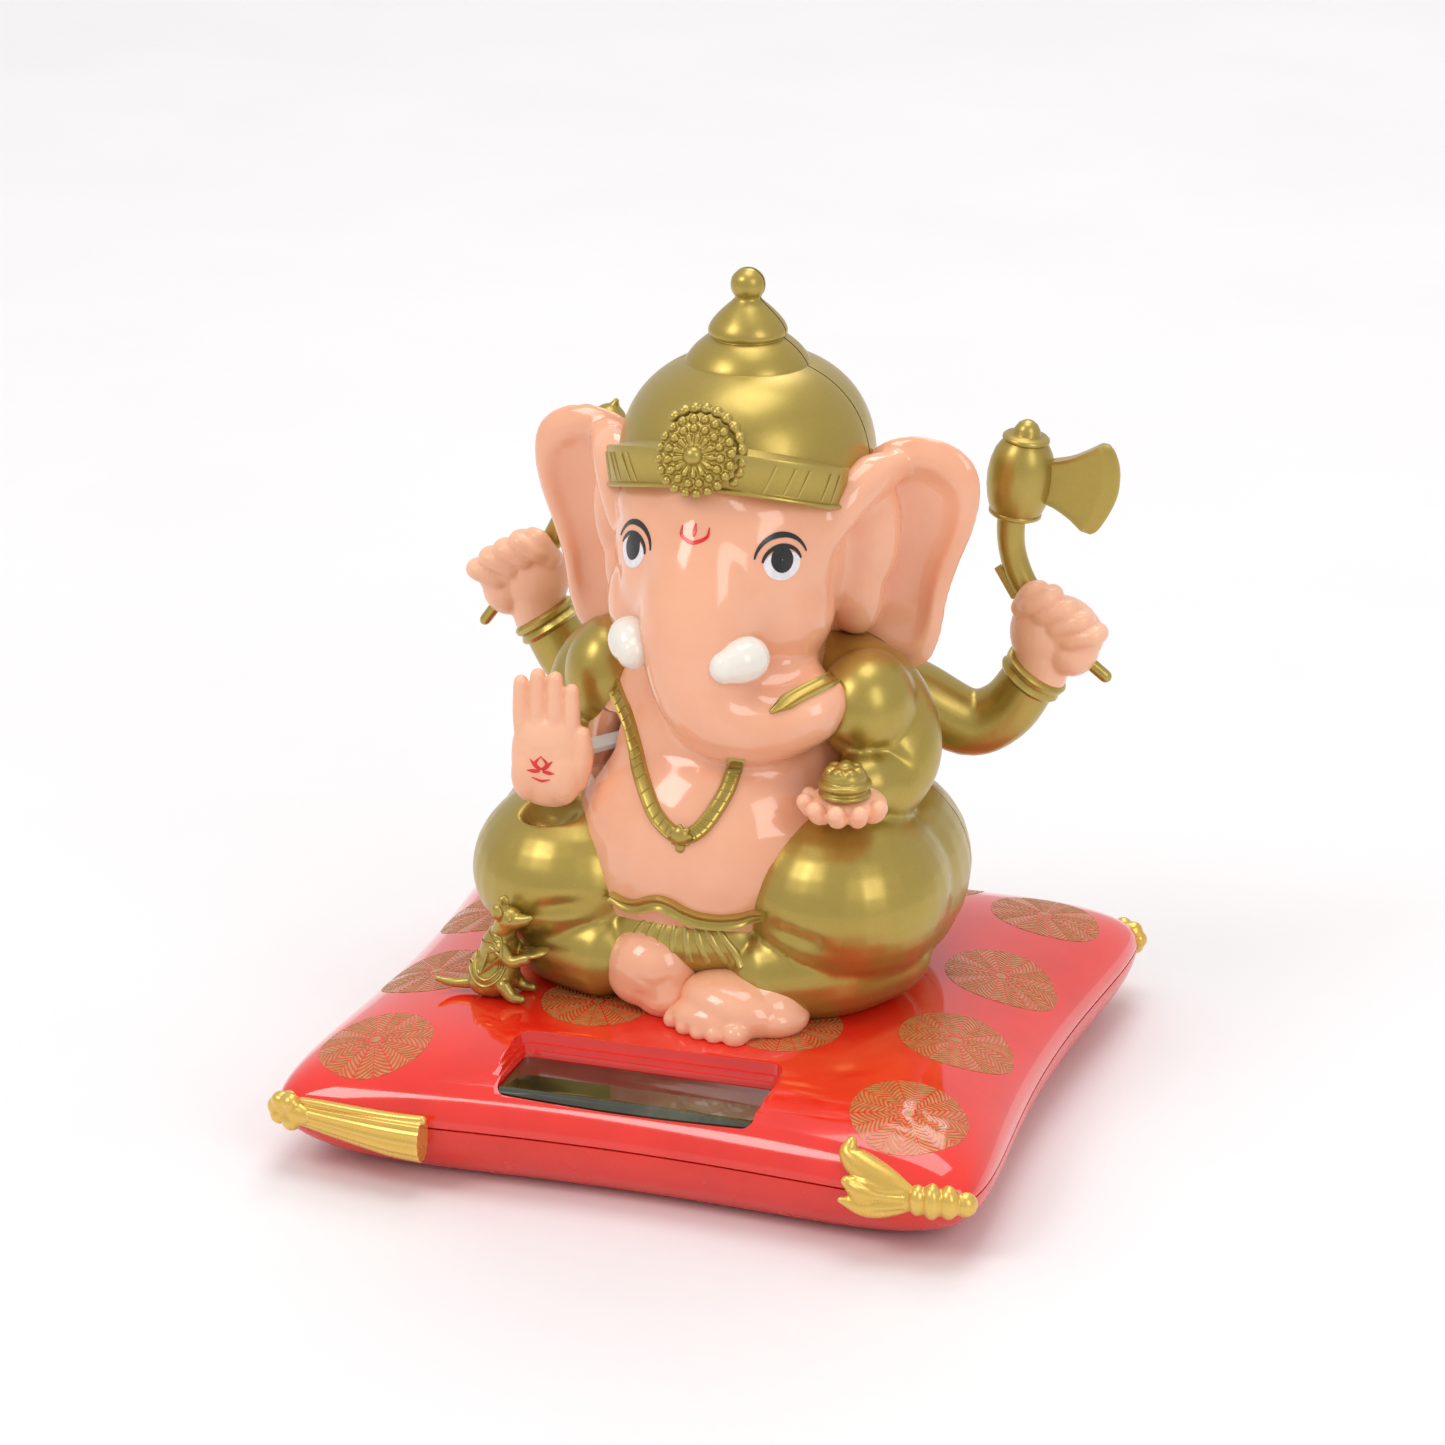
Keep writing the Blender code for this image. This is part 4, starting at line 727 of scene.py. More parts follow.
def medallion(name, x, y, turn, radius=8.7, leaves=9):
    """A printed round: leaf-shaped sectors, each hatched like a herringbone."""
    def place(u, v):
        return on_cushion(x + u, y + v)

    def polar(r, angle):
        return (r * math.cos(angle), r * math.sin(angle))

    shapes = []
    sector = 2 * math.pi / leaves
    bar, gap, lean = 0.37, 0.31, 0.95
    hub = [[polar(r, a) for a in np.linspace(0, 2 * math.pi, 19)] for r in (0.05, 0.8)]
    shapes.append(patch(hub, place, 0.05, 0.08))
    for leaf in range(leaves):
        middle = turn + leaf * sector
        for side in (-1, 1):
            vein = 1.1
            while vein < radius:
                rows = []
                for start in (vein, vein + bar):
                    row = []
                    for share in np.linspace(0, 1, 6):
                        r = min(start + lean * share * start * math.sin(sector / 2), radius)
                        edge = sector / 2 - 0.10 / r
                        angle = 0.06 / r + share * (edge - 0.06 / r)
                        row.append(polar(r, middle + side * angle))
                    rows.append(row)
                shapes.append(patch(rows, place, 0.05, 0.08))
                vein += bar + gap
    item = new_object(name, shapes)
    return dress(item, MEDAL, angle=30)


def build_medallions():
    """The printed rounds, each turned differently."""
    spots = [(42, -41), (42, -15.5), (42, 10), (42, 37), (-42, -41), (-42, -15.5), (-42, 10), (-42, 37),
             (-13, -22), (17, -22), (0, 44), (21, 44), (-21, 44)]
    for index, (x, y) in enumerate(spots, 1):
        medallion(f"medallion_{index}", x, y, 0.31 * index)


# ---------------------------------------------------------------- figure skin
def ear_shape(side):
    """A broad ear: outline points about its centre, soft raised rim and dished face."""
    outline = np.array([
        (13.0, 92.0), (17.0, 98.6), (21.8, 102.6), (27.6, 103.4), (32.4, 102.0), (35.2, 99.2), (36.1, 95.0),
        (35.2, 89.5), (33.0, 83.5), (31.2, 77.6), (30.3, 72.0), (28.6, 67.4), (25.2, 65.7), (21.0, 67.2),
        (16.6, 71.0), (13.2, 75.5), (12.0, 83.0),
    ])
    loop = curve(np.vstack([outline, outline[:1]]), 6)[:-1]
    centre = np.array([23.0, 84.5])
    points, rings = [], 22
    shares = [math.sin(math.pi / 2 * row / rings) for row in range(rings + 1)]
    face_rows = [(share, True) for share in shares] + [(share, False) for share in shares[-2::-1]]
    for share, front in face_rows:
        for x, z in loop:
            px = centre[0] + (x - centre[0]) * share
            pz = centre[1] + (z - centre[1]) * share
            thick = math.sqrt(max(1 - share ** 4, 0))
            rim = math.exp(-((share - 0.84) / 0.13) ** 2)
            hollow = max(0.0, 1 - (share / 0.80) ** 2)
            outer = max(0.0, min(1.0, (px - 15) / 12))
            out = (0.7 + 1.25 * rim * outer - 1.15 * hollow * outer) * thick if front else -1.9 * thick
            bend = 0.026 * max(px - 14, 0) ** 1.35
            points.append((px * side, 13.2 + bend - out * 1.25, pz))
    return flipped((np.array(points), pipe_faces(len(face_rows), len(loop), ends=False)))


def crease(values, normal, path, width, depth):
    """Press a rounded groove, or with a negative depth raise a ridge, along a path."""
    line = curve(path, 6)
    best = np.full(len(values), 1e9)
    for a, b in zip(line[:-1], line[1:]):
        along = b - a
        share = np.clip(((values - a) @ along) / max(along @ along, 1e-9), 0, 1)
        gap = np.linalg.norm(values - (a + share[:, None] * along), axis=1)
        best = np.minimum(best, gap)
    return values - normal * (depth * np.exp(-((best / width) ** 2)))[:, None]


def keep_clear(values):
    """Press a skin softly back from the room in which the blessing hand swings."""
    centre, radii = np.array([-23.6, -15.2, 55.5]), np.array([7.2, 4.6, 11.4])
    offset = (values - centre) / radii
    size = np.maximum(np.linalg.norm(offset, axis=1), 1e-6)
    wanted = np.where(size < 1.15, 1 + np.maximum(size - 0.85, 0) ** 2 / 0.6, size)
    return centre + offset / size[:, None] * wanted[:, None] * radii


TORSO = [
    ellipsoid((0, 0, 41), (24, 24, 23)),
    ellipsoid((0, 3.5, 57.5), (20.5, 18.5, 16.5)),
    ellipsoid((-6.4, 0.4, 53), (15.8, 13.0, 20)),
    ellipsoid((-5.5, 2, 62), (14, 13, 12)),
]
TRUNK_PATH = [(0, -5.5, 92), (0, -9.5, 84.5), (0.2, -12.6, 77), (1.1, -14.0, 71), (3.6, -14.6, 66.7),
              (8.0, -13.8, 64.8), (12.4, -12.2, 64.8), (16.2, -10.2, 66.0), (17.8, -8.6, 67.4)]
TRUNK_SIZES = [8.4, 9.4, 9.0, 8.0, 7.2, 6.3, 5.8, 5.3, 4.6]


def build_skin():
    """Head, ears, trunk and chest as one skin, split into the two shells."""
    shapes = list(TORSO)
    shapes.append(ellipsoid((0, 3.5, 87), (17.8, 18.4, 18)))
    for side in (-1, 1):
        shapes.append(ellipsoid((8.8 * side, -1.2, 79.0), (9.0, 10.2, 9.4)))
        shapes.append(ear_shape(side))
        shapes.append(ellipsoid((13.5 * side, 10.5, 86), (6.5, 4.2, 15)))
        root = [(15.6, -0.5, 90.5), (17.8, 2.8, 95.0), (20.2, 7.6, 97.8), (23.0, 12.0, 98.8)]
        shapes.append(tube([(x * side, y, z) for x, y, z in root], [2.8, 3.4, 3.6, 2.6], 20))
        shapes.append(ellipsoid((19.4 * side, 10.2, 89.0), (5.4, 4.6, 10.5), (0, 0, 18 * side)))
        shapes.append(ellipsoid((18.0 * side, 9.6, 80.0), (4.6, 4.4, 8.0), (0, 0, 18 * side)))
    shapes.append(ellipsoid((0, -4.5, 94), (9.5, 8.6, 8.5)))
    shapes.append(ellipsoid((0, 3.0, 93.5), (17.6, 15.6, 9.0)))
    shapes.append(ellipsoid((0, -6.0, 83.5), (14.2, 9.8, 12.0)))
    shapes.append(tube(TRUNK_PATH, TRUNK_SIZES, 28))
    shapes.append(ellipsoid((0, 2, 72), (15.5, 13, 9)))
    shapes.append(ellipsoid((7.5, -5.8, 67.6), (11.8, 8.2, 7.0)))
    shapes.append(ellipsoid((5.0, -7.0, 60.5), (11.5, 7.2, 6.5)))

    def trunk_and_neck(points):
        x, y, z = points.T
        inside = np.clip((17.5 - np.abs(x - 3.0)) / 4, 0, 1) * np.clip((10 - y) / 5, 0, 1)
        return inside * np.clip((z - 48) / 8, 0, 1) * np.clip((100 - z) / 6, 0, 1)

    def chest_and_sides(points):
        return np.clip((60 - points[:, 2]) / 8, 0, 1) + np.clip((np.abs(points[:, 0]) - 15) / 3, 0, 1)

    skin = lump("skin", shapes, 0.42, 9)
    relax(skin, trunk_and_neck, 130)
    relax(skin, chest_and_sides, 16)
    set_coordinates(skin, keep_clear(coordinates(skin)))
    subtract(skin, *cavity_shapes())
    subtract(skin, seat_shape())
    return dress_halves(split_behind_ears(skin), PEACH)


def cavity_shapes():
    """The hollow for the swing, its slot through the chest, and the magnet's room."""
    stem_start, stem_end = np.array([-3.0, 0.5, 59.6]), np.array([-23.4, -14.8, 56.0])
    slot_shape = box_between(stem_start + (stem_end - stem_start) * 0.3,
                             stem_start + (stem_end - stem_start) * 0.97, 2.4, 4.6)
    return [
        ellipsoid((0, 1.0, 41), (21.2, 20.6, 20.2)),
        ellipsoid((0, 4.5, 57.0), (17.0, 14.4, 13.6)),
        slot_shape,
        ellipsoid((0, 4.0, 26.5), (9.0, 13.6, 8.5), (0, 0, 0), 18, 30, 3.0),
    ]


def box_between(start, end, half_width, half_height):
    """A box along a line, upright, with the given half width and half height."""
    along = unit(end - start)
    side = unit(np.cross(along, (0, 0, 1)))
    up = np.cross(side, along)
    points = []
    for base in (start, end):
        for s, t in ((-1, -1), (1, -1), (1, 1), (-1, 1)):
            points.append(base + side * s * half_width + up * t * half_height)
    return flipped((np.array(points), BOX_FACES))


def seat_shape():
    """Everything below the cushion's surface, to trim what stands on it."""
    lines, depth = 40, 2.0
    plan_points = [(x, y) for y in np.linspace(-44, 44, lines) for x in np.linspace(-48, 48, lines)]
    upper = [(x, y, cushion_height(x, y) + 0.05) for x, y in plan_points]
    return slab(upper, [(x, y, depth) for x, y in plan_points], lines)


# ----------------------------------------------------------------------- robe
def build_robe():
    """Crossed legs, sleeves and back in gold, split into the two shells."""
    shapes = []
    for side in (-1, 1):
        shapes.append(ellipsoid((20.5 * side, 3.0, 35.5), (17.0, 26.5, 16.2)))
        shapes.append(ellipsoid((21.5 * side, -6.5, 36.4 + 0.6 * side), (16.3, 18.0, 14.1 + 0.5 * side)))
        shapes.append(ellipsoid((16.5 * side, 9.5, 60.5), (11.0, 11.5, 12.0)))
        shapes.append(tube([(26.5 * side, -5, 27.5), (21.5 * side, -13.5, 27.5), (14.0 * side, -17.5, 26.6)],
                           [8.5, 8.4, 7.4]))
    shapes.append(tube([(14, 8.5, 67.0), (21.0, 5.5, 64.0), (25.6, 2.0, 58.0), (26.0, -3.0, 54.0),
                        (25.0, -7.5, 54.6)], [6.0, 8.6, 8.4, 7.0, 5.4], 24))
    shapes.append(tube([(-14, 8.5, 67.0), (-20.5, 6.5, 64.0), (-23.0, 4.0, 58.5), (-22.5, 0.5, 54.5)],
                       [6.0, 7.8, 7.2, 5.6], 24))
    shapes.append(ellipsoid((23.0, -1.0, 65.0), (7.6, 8.8, 8.6)))
    shapes.append(ellipsoid((-18.6, -0.4, 65.5), (6.6, 7.8, 8.6)))
    shapes.append(ellipsoid((0, 14.5, 47.5), (24.5, 16.5, 25)))
    shapes.append(ellipsoid((0, 19, 33), (24, 13.5, 14)))
    shapes.append(ellipsoid((0, -14.5, 31.0), (14.5, 9.4, 7.0)))

    def sculpt(values, normal):
        for side in (-1, 1):
            fold = [(8.5, -25.5, 36.8), (13, -24.5, 36.2), (21.5, -23.5, 34.9), (27, -18.5, 33.2),
                    (30, -12.5, 29.5)]
            values = crease(values, normal, [(x * side, y, z) for x, y, z in fold], 1.6, 0.75)
        values = crease(values, normal, [(19, -7.5, 62.5), (22, -8.2, 61.2), (27, -6.5, 60.6)], 1.1, 0.35)
        values = crease(values, normal, [(18.5, -6.0, 66.5), (22, -7.0, 66.0), (28, -3.5, 67.0)], 1.2, -0.3)
        return keep_clear(values)

    robe = lump("robe", shapes, 0.5, 9, sculpt)
    subtract(robe, *cavity_shapes())
    subtract(robe, seat_shape())
    return dress_halves(split(robe), GOLD)


def build_feet():
    """The folded foot as a rounded ball with faint wrinkles, and the other foot with five toes."""
    def wrinkles(values, normal):
        arcs = [
            [(-4.4, -26.6, 26.6), (-2.4, -26.6, 25.8), (-0.6, -25.6, 26.6)],
            [(-5.0, -26.2, 24.2), (-2.8, -26.4, 23.2), (-0.6, -25.2, 23.8)],
            [(-4.6, -25.2, 21.8), (-2.8, -25.4, 21.2), (-1.0, -24.6, 21.6)],
        ]
        for arc in arcs:
            values = crease(values, normal, arc, 0.75, 0.13)
        return values

    folded = lump("foot_right", [
        ellipsoid((-4.6, -20.0, 26.6), (7.3, 7.0, 6.6)),
        ellipsoid((-2.2, -21.6, 23.0), (5.0, 4.9, 4.2)),
        ellipsoid((-6.0, -20.8, 25.0), (5.6, 5.6, 5.0)),
    ], 0.3, 40, wrinkles)
    subtract(folded, seat_shape())
    dress(folded, PEACH, "front_shell")
    shapes = [
        ellipsoid((12.8, -20.4, 23.4), (7.6, 6.2, 4.8), (0, 10, -26)),
        ellipsoid((9.4, -23.2, 23.0), (8.8, 6.6, 4.8), (0, 9, -8)),
        ellipsoid((7.0, -26.0, 21.6), (7.2, 4.4, 3.3), (0, 0, -4)),
        ellipsoid((14.6, -22.0, 22.0), (6.2, 6.0, 3.6), (0, 6, -30)),
    ]
    toes = [((0.6, -27.2, 20.7), 1.45), ((3.0, -28.9, 20.5), 1.35), ((5.6, -29.9, 20.4), 1.35),
            ((8.2, -30.3, 20.4), 1.4), ((11.4, -30.0, 20.6), 1.9)]
    for (x, y, z), size in toes:
        root, tip = (x + 1.0, y + 4.6, z + 1.3), (x, y + 0.5, z + 0.1)
        shapes.append(tube([root, tip], [size * 1.3, size * 1.08], 14, 3))
    other = lump("foot_left", shapes, 0.28, 16)
    subtract(other, seat_shape())
    dress(other, PEACH, "front_shell")


# ------------------------------------------------------------------------ hat
def build_hat():
    """The dome and its finial, each split into the two shells."""
    dome = []
    for step in range(31):
        angle = math.pi / 2 * step / 30
        dome.append((19.6 * math.sin(angle) ** (2 / 2.35), 97 + 18.0 * math.cos(angle) ** (2 / 2.35)))
    dome = [(0.02, dome[0][1])] + dome[1:]
    dome += [(19.4, 93.0), (18.4, 88.0), (16.4, 84.0), (0.02, 83.6)]
    hat = new_object("hat", [flipped(lathe(dome, (0, SPLIT_Y, 0), 128, (0, 0, 0), (1.0, 1.09)))])
    # the brim rises towards the brow, where the band covers it
    square = [(-60, -60), (60, -60), (60, 60), (-60, 60)]
    corners = [(x, y, 95.3 - 0.38 * (y - 2)) for x, y in square] + [(x, y, 40.0) for x, y in square]
    under = flipped((np.array(corners, float), BOX_FACES))
    subtract(hat, under, ellipsoid((0, 3.5, 86), (17.2, 18.0, 15.5)))
    dress_halves(split(hat), GOLD)
    rough = [
        (0.02, 128.04), (0.9, 127.90), (1.7, 127.42), (2.4, 126.6), (2.65, 125.5), (2.5, 124.5), (2.1, 123.8),
        (2.0, 123.4), (2.5, 122.8), (3.5, 121.9), (4.6, 120.8), (5.5, 119.7), (6.0, 118.7), (6.0, 118.0),
        (5.75, 117.6), (6.1, 117.35), (7.0, 116.7), (8.1, 115.7), (9.0, 114.6), (9.5, 113.7),
        (9.45, 113.2), (9.7, 112.9), (10.4, 112.5), (10.6, 111.4), (0.02, 110.6),
    ]
    profile = curve(rough, 4)
    profile[:, 0] = np.maximum(profile[:, 0], 0.02)
    finial = new_object("finial", [flipped(lathe([tuple(p) for p in profile], (0, SPLIT_Y, 0), 96))])
    dress_halves(split(finial), GOLD)


def band_point(angle):
    """Middle of the hat band at an angle round the brow, and its outward direction."""
    x = 18.2 * math.sin(angle)
    y = 2.4 - 13.4 * math.cos(angle)
    z = 98.0 + 5.0 * math.cos(angle) ** 1.3
    outward = unit((math.sin(angle) * 0.86, -math.cos(angle), -0.10))
    return np.array([x, y, z]), outward


def build_band():
    """The band round the brow and its thin upright ribs."""
    angles = np.radians(np.linspace(-88, 88, 90))
    places, outward = zip(*[band_point(angle) for angle in angles])
    width = 3.15
    section = [(-1, -2.4), (-1, 0.30), (-0.92, 0.46), (0, 0.5), (0.66, 0.5), (0.74, 0.62), (0.80, 0.98),
               (0.88, 1.10), (0.96, 0.98), (1, 0.7), (1, -2.4)]
    band = new_object("hat_band", [flipped(strip(places, outward, [(a * width, h) for a, h in section]))])
    dress(band, GOLD, "front_shell", angle=35)
    ribs = []
    for degrees in (-74, -69, -58, -53, -44, -39, 33, 43, 51, 66, 74):
        rows = []
        tilt = math.radians(3.6 if degrees > 0 else -3.6)
        for share in np.linspace(-1, 1, 7):
            point, out = band_point(math.radians(degrees) + tilt * share)
            up = unit(np.cross(out, np.cross((0, 0, 1), out)))
            rows.append((point + up * (share * 0.82 - 0.10) * width + out * 0.5, out))
        spots, outs = zip(*rows)
        rib = [(-0.26, -0.4), (-0.2, 0.12), (0, 0.2), (0.2, 0.12), (0.26, -0.4)]
        ribs.append(flipped(strip(spots, outs, rib)))
    dress(new_object("hat_band_ribs", ribs), GOLD, angle=60)


def flower(name, centre, outward, size, petals=13):
    """A round brooch: domed centre, teardrop petals and two outer rings of beads."""
    outward = unit(outward)
    side = unit(np.cross((0, 0, 1), outward))
    up = np.cross(outward, side)

    def at(r, angle, height):
        return centre + side * r * math.cos(angle) + up * r * math.sin(angle) + outward * height

    tilt = (math.degrees(math.atan2(-outward[1], outward[2])), 0, 0)
    shapes = [flipped(lathe([(0.02, 1.3), (size * 0.40, 1.25), (size * 0.62, 0.85), (size * 0.84, 0.35),
                             (size * 0.88, -1.2), (0.02, -1.4)], centre, 48, tilt)),
              ellipsoid(centre + outward * 1.3, (size * 0.25, size * 0.25, size * 0.24), tilt)]
    for radius, bead, count, height in ((0.66, 0.115, 15, 1.0), (0.90, 0.125, 20, 0.35)):
        for i in range(count):
            angle = 2 * math.pi * (i + 0.5 * (radius > 0.8)) / count
            shapes.append(ellipsoid(at(size * radius, angle, height), (size * bead,) * 3, (0, 0, 0), 8, 12))
    for i in range(petals):
        angle = 2 * math.pi * i / petals
        shapes.append(tube([at(size * 0.30, angle, 1.35), at(size * 0.46, angle, 1.35)],
                           [size * 0.045, size * 0.085], 10, 3))
    item = lump(name, shapes, 0.16, 3)
    return dress(item, GOLD, "front_shell")


def build_brooch():
    """The brooch on the band and the row of beads over it."""
    centre = np.array([-0.5, -11.8, 105.2])
    outward = unit((0, -0.93, 0.36))
    flower("hat_brooch", centre, outward, 6.2)
    beads = []
    for degrees in range(-35, 131, 15):
        angle = math.radians(degrees)
        spot = centre + (math.cos(angle) * 6.7, 1.5 + 1.8 * max(math.sin(angle), 0), math.sin(angle) * 6.5)
        beads.append(ellipsoid(spot, (0.95, 1.1, 0.95), (0, 0, 0), 10, 14))
    dress(lump("hat_brooch_rim", beads, 0.2, 5), GOLD)


# ------------------------------------------------------------------ face print
def surface_frame(tree, x, z, ahead=-60.0):
    """A place on the face with its own right and up directions."""
    point, normal = project(tree, (x, ahead, z), (0, 1, 0))
    right = unit(np.cross((0, 0, 1), -normal)) * -1
    if right[0] < 0:
        right = -right
    up = unit(np.cross(normal, right))
    if up[2] < 0:
        up = -up

    def place(u, v):
        start = point + right * u + up * v + normal * 6
        return project(tree, start, -normal)

    return place


def arc_band(start, end, centre, radius_x, radius_y, thick_middle, thick_end, count=22):
    """Rows for a crescent-like arc whose stroke is thickest in the middle."""
    angles = np.radians(np.linspace(start, end, count))
    outer, inner = [], []
    for i, angle in enumerate(angles):
        share = 1 - abs(2 * i / (count - 1) - 1)
        half_stroke = (thick_end + (thick_middle - thick_end) * share**0.8) / 2
        x, y = math.cos(angle), math.sin(angle)
        outer.append((centre[0] + (radius_x + half_stroke) * x, centre[1] + (radius_y + half_stroke) * y))
        inner.append((centre[0] + (radius_x - half_stroke) * x, centre[1] + (radius_y - half_stroke) * y))
    return between(outer, inner, 3)


def build_eyes(tree):
    """Each eye: white crescent, round pupil, lid line and brow."""
    for label, side, across in (("left", 1, 12.2), ("right", -1, 10.9)):
        place = surface_frame(tree, across * side, 89.5)
        steps = np.linspace(0, math.pi, 27)
        upper = [(-3.1 * math.cos(a), -0.35 + 1.75 * math.sin(a)) for a in steps]
        lower = [(-3.1 * math.cos(a), -0.35 - 2.60 * math.sin(a)) for a in steps]
        white = [patch(between(upper, lower, 11), place, 0.07)]
        turns = np.linspace(0, 2 * math.pi, 33)
        pupil = [[(r * math.cos(a) * 1.86, 0.15 + r * math.sin(a) * 1.98) for a in turns]
                 for r in (0.04, 0.35, 0.7, 1.0)]
        black = [
            patch(pupil, place, 0.12),
            patch(arc_band(166, 10, (0, -0.55), 3.30, 2.75, 0.80, 0.30), place, 0.13),
            patch(arc_band(162, 18, (0, -0.6), 4.60, 4.50, 0.95, 0.22), place, 0.11),
        ]
        dress(new_object(f"eye_white_{label}", white), WHITE_INK, angle=40)
        dress(new_object(f"eye_lines_{label}", black), BLACK_INK, angle=40)


def stroke(points, widths, place, lift=0.07):
    """A brush stroke through (u, v) points with a width at each."""
    rows = curve(np.column_stack([points, widths]), 7)
    left, right = [], []
    for i, (u, v, width) in enumerate(rows):
        before, after = rows[max(i - 1, 0)], rows[min(i + 1, len(rows) - 1)]
        along = unit(after[:2] - before[:2])
        across = np.array([-along[1], along[0]]) * width / 2
        left.append((u + across[0], v + across[1]))
        right.append((u - across[0], v - across[1]))
    return patch(between(left, right, 3), place, lift)


def build_forehead_mark(tree):
    """A plain red mark between the eyes: a shallow bowl under a drop."""
    place = surface_frame(tree, 0.0, 93.9)
    bowl = [(-2.1, 1.3), (-1.9, -0.3), (0, -1.3), (1.9, -0.3), (2.1, 1.3)]
    shapes = [
        stroke(bowl, [0.15, 0.46, 0.60, 0.46, 0.15], place, 0.14),
        stroke([(0, 1.7), (0, 0.5), (0, -0.4)], [0.16, 0.60, 0.20], place, 0.14),
    ]
    dress(new_object("forehead_mark", shapes), RED_INK, angle=40)


# ------------------------------------------------------------------ ornaments
def build_necklace(tree):
    """A flat ribbed collar strip with a small round pendant, and its end above the trunk."""
    def laid(points, start):
        back = 20
        hits = [project(tree, (x - back * LAY[0], start - back * LAY[1], z - back * LAY[2]), LAY)
                for x, z in curve(points, 8)]
        return smoothed([p for p, _ in hits], 4), smoothed([n for _, n in hits], 8)

    strand = [(-11.3, 72.6), (-10.2, 69.0), (-8.6, 65.6), (-7.4, 61.0), (-6.7, 57.4), (-4.6, 51.6),
              (-2.4, 48.9), (-0.2, 47.9), (2.0, 48.7), (4.1, 51.0), (6.7, 55.4), (8.0, 59.0), (8.6, 61.4)]
    left_side = [(-1.25, -0.9), (-1.25, 0.45), (-1.05, 0.72), (-0.80, 0.45), (-0.35, 0.40)]
    section = left_side + [(-across, height) for across, height in left_side[::-1]]
    places, outward = laid(strand, -20)
    shapes = [flipped(strip(places, outward, section))]
    for i in range(3, len(places) - 3, 3):
        along = unit(places[i + 1] - places[i - 1])
        out = unit(outward[i])
        across = np.cross(along, out)
        ends = [places[i] - across * 0.8 + out * 0.44 - along * 0.2,
                places[i] + across * 0.8 + out * 0.44 + along * 0.2]
        shapes.append(tube(ends, [0.13, 0.13], 6, 2))
    collar = [(11.2, 66.2), (14.3, 68.5), (17.4, 70.5), (20.4, 72.3), (23.0, 73.8)]
    upper_places, upper_outward = laid(collar, -12)
    taper = np.clip(np.linspace(0.25, 4.0, len(upper_places)), 0, 1)
    shapes.append(flipped(strip(upper_places, upper_outward, section, taper)))
    dress(new_object("necklace", shapes), GOLD, angle=45)
    middle = int(np.argmin([p[2] for p in places]))
    centre, out = places[middle], unit(outward[middle])
    pendant = [ellipsoid(centre + out * 0.6, (1.5, 1.0, 1.5)),
               ellipsoid(centre + out * 0.5 + (0, 0, -1.9), (0.8, 0.7, 0.8))]
    for i in range(8):
        angle = 2 * math.pi * i / 8
        spot = centre + out * 0.55 + (math.cos(angle) * 1.55, 0, math.sin(angle) * 1.55)
        pendant.append(ellipsoid(spot, (0.42,) * 3))
    dress(lump("pendant", pendant, 0.14, 2), GOLD)


def build_belt(skin_tree, robe_tree):
    """The wavy belt over the belly's foot, and the pleats that fan out below it."""
    points = [(-10.8, 37.3), (-8.2, 36.7), (-6.0, 36.9), (-4.0, 37.8), (-2.3, 38.2), (-0.6, 37.8),
              (1.2, 36.9), (3.6, 36.1), (6.4, 35.8), (9.4, 36.1), (11.8, 36.9), (13.8, 37.6)]
    path = curve(points, 7)
    rows = []
    for x, z in path:
        hits = [project(tree, (x, -60, z), (0, 1, 0)) for tree in (skin_tree, robe_tree)]
        rows.append(min(hits, key=lambda hit: hit[0][1] if abs(hit[0][0] - x) < 0.2 else 99))
    depth = smoothed([(p[1],) for p, _ in rows], 60)[:, 0]
    places = np.column_stack([path[:, 0], depth, path[:, 1]])
    outward = smoothed([n * (1, 1, 0.2) for _, n in rows], 60)
    share = np.linspace(-1, 1, len(places))
    widths = 1.0 - 0.45 * np.abs(share) ** 3
    section = [(-1.15, -2.4), (-1.25, 0.7), (-1.0, 1.35), (-0.7, 1.25), (-0.40, 0.80), (0.0, 0.72),
               (0.40, 0.85), (0.75, 1.3), (1.05, 1.3), (1.25, 0.7), (1.15, -2.4)]
    dress(new_object("belt", [flipped(strip(places, outward, section, widths))]), GOLD, angle=50)
    pleats = []
    for x in np.linspace(-7.5, 9.0, 8):
        rows = []
        for z in np.linspace(35.4, 29.0, 7):
            spread = 0.62 + (35.2 - z) * 0.085
            rows.append(project(robe_tree, (x * spread, -60, z), (0, 1, 0)))
        spots = smoothed([p for p, _ in rows], 1)
        outs = smoothed([n for _, n in rows], 2)
        fold = [(-0.8, -0.5), (-0.6, 0.04), (0.15, 0.34), (0.6, 0.02), (0.8, -0.5)]
        pleats.append(flipped(strip(spots, outs, fold)))
    dress(new_object("cloth_pleats", pleats), GOLD, angle=60)


# ---------------------------------------------------------------------- tusks
def build_tusks():
    eggs = {
        "left": [(9.0, -16.4, 76.1), (7.9, -17.8, 75.8), (6.5, -19.1, 75.4)],
        "right": [(-10.3, -13.8, 76.3), (-9.6, -15.3, 75.8), (-8.8, -16.8, 75.2)],
    }
    for label, path in eggs.items():
        tusk = lump(f"ivory_tusk_{label}", [tube(path, [3.45, 3.3, 2.6], 26)], 0.22, 5)
        dress(tusk, IVORY, f"tusk_{label}")


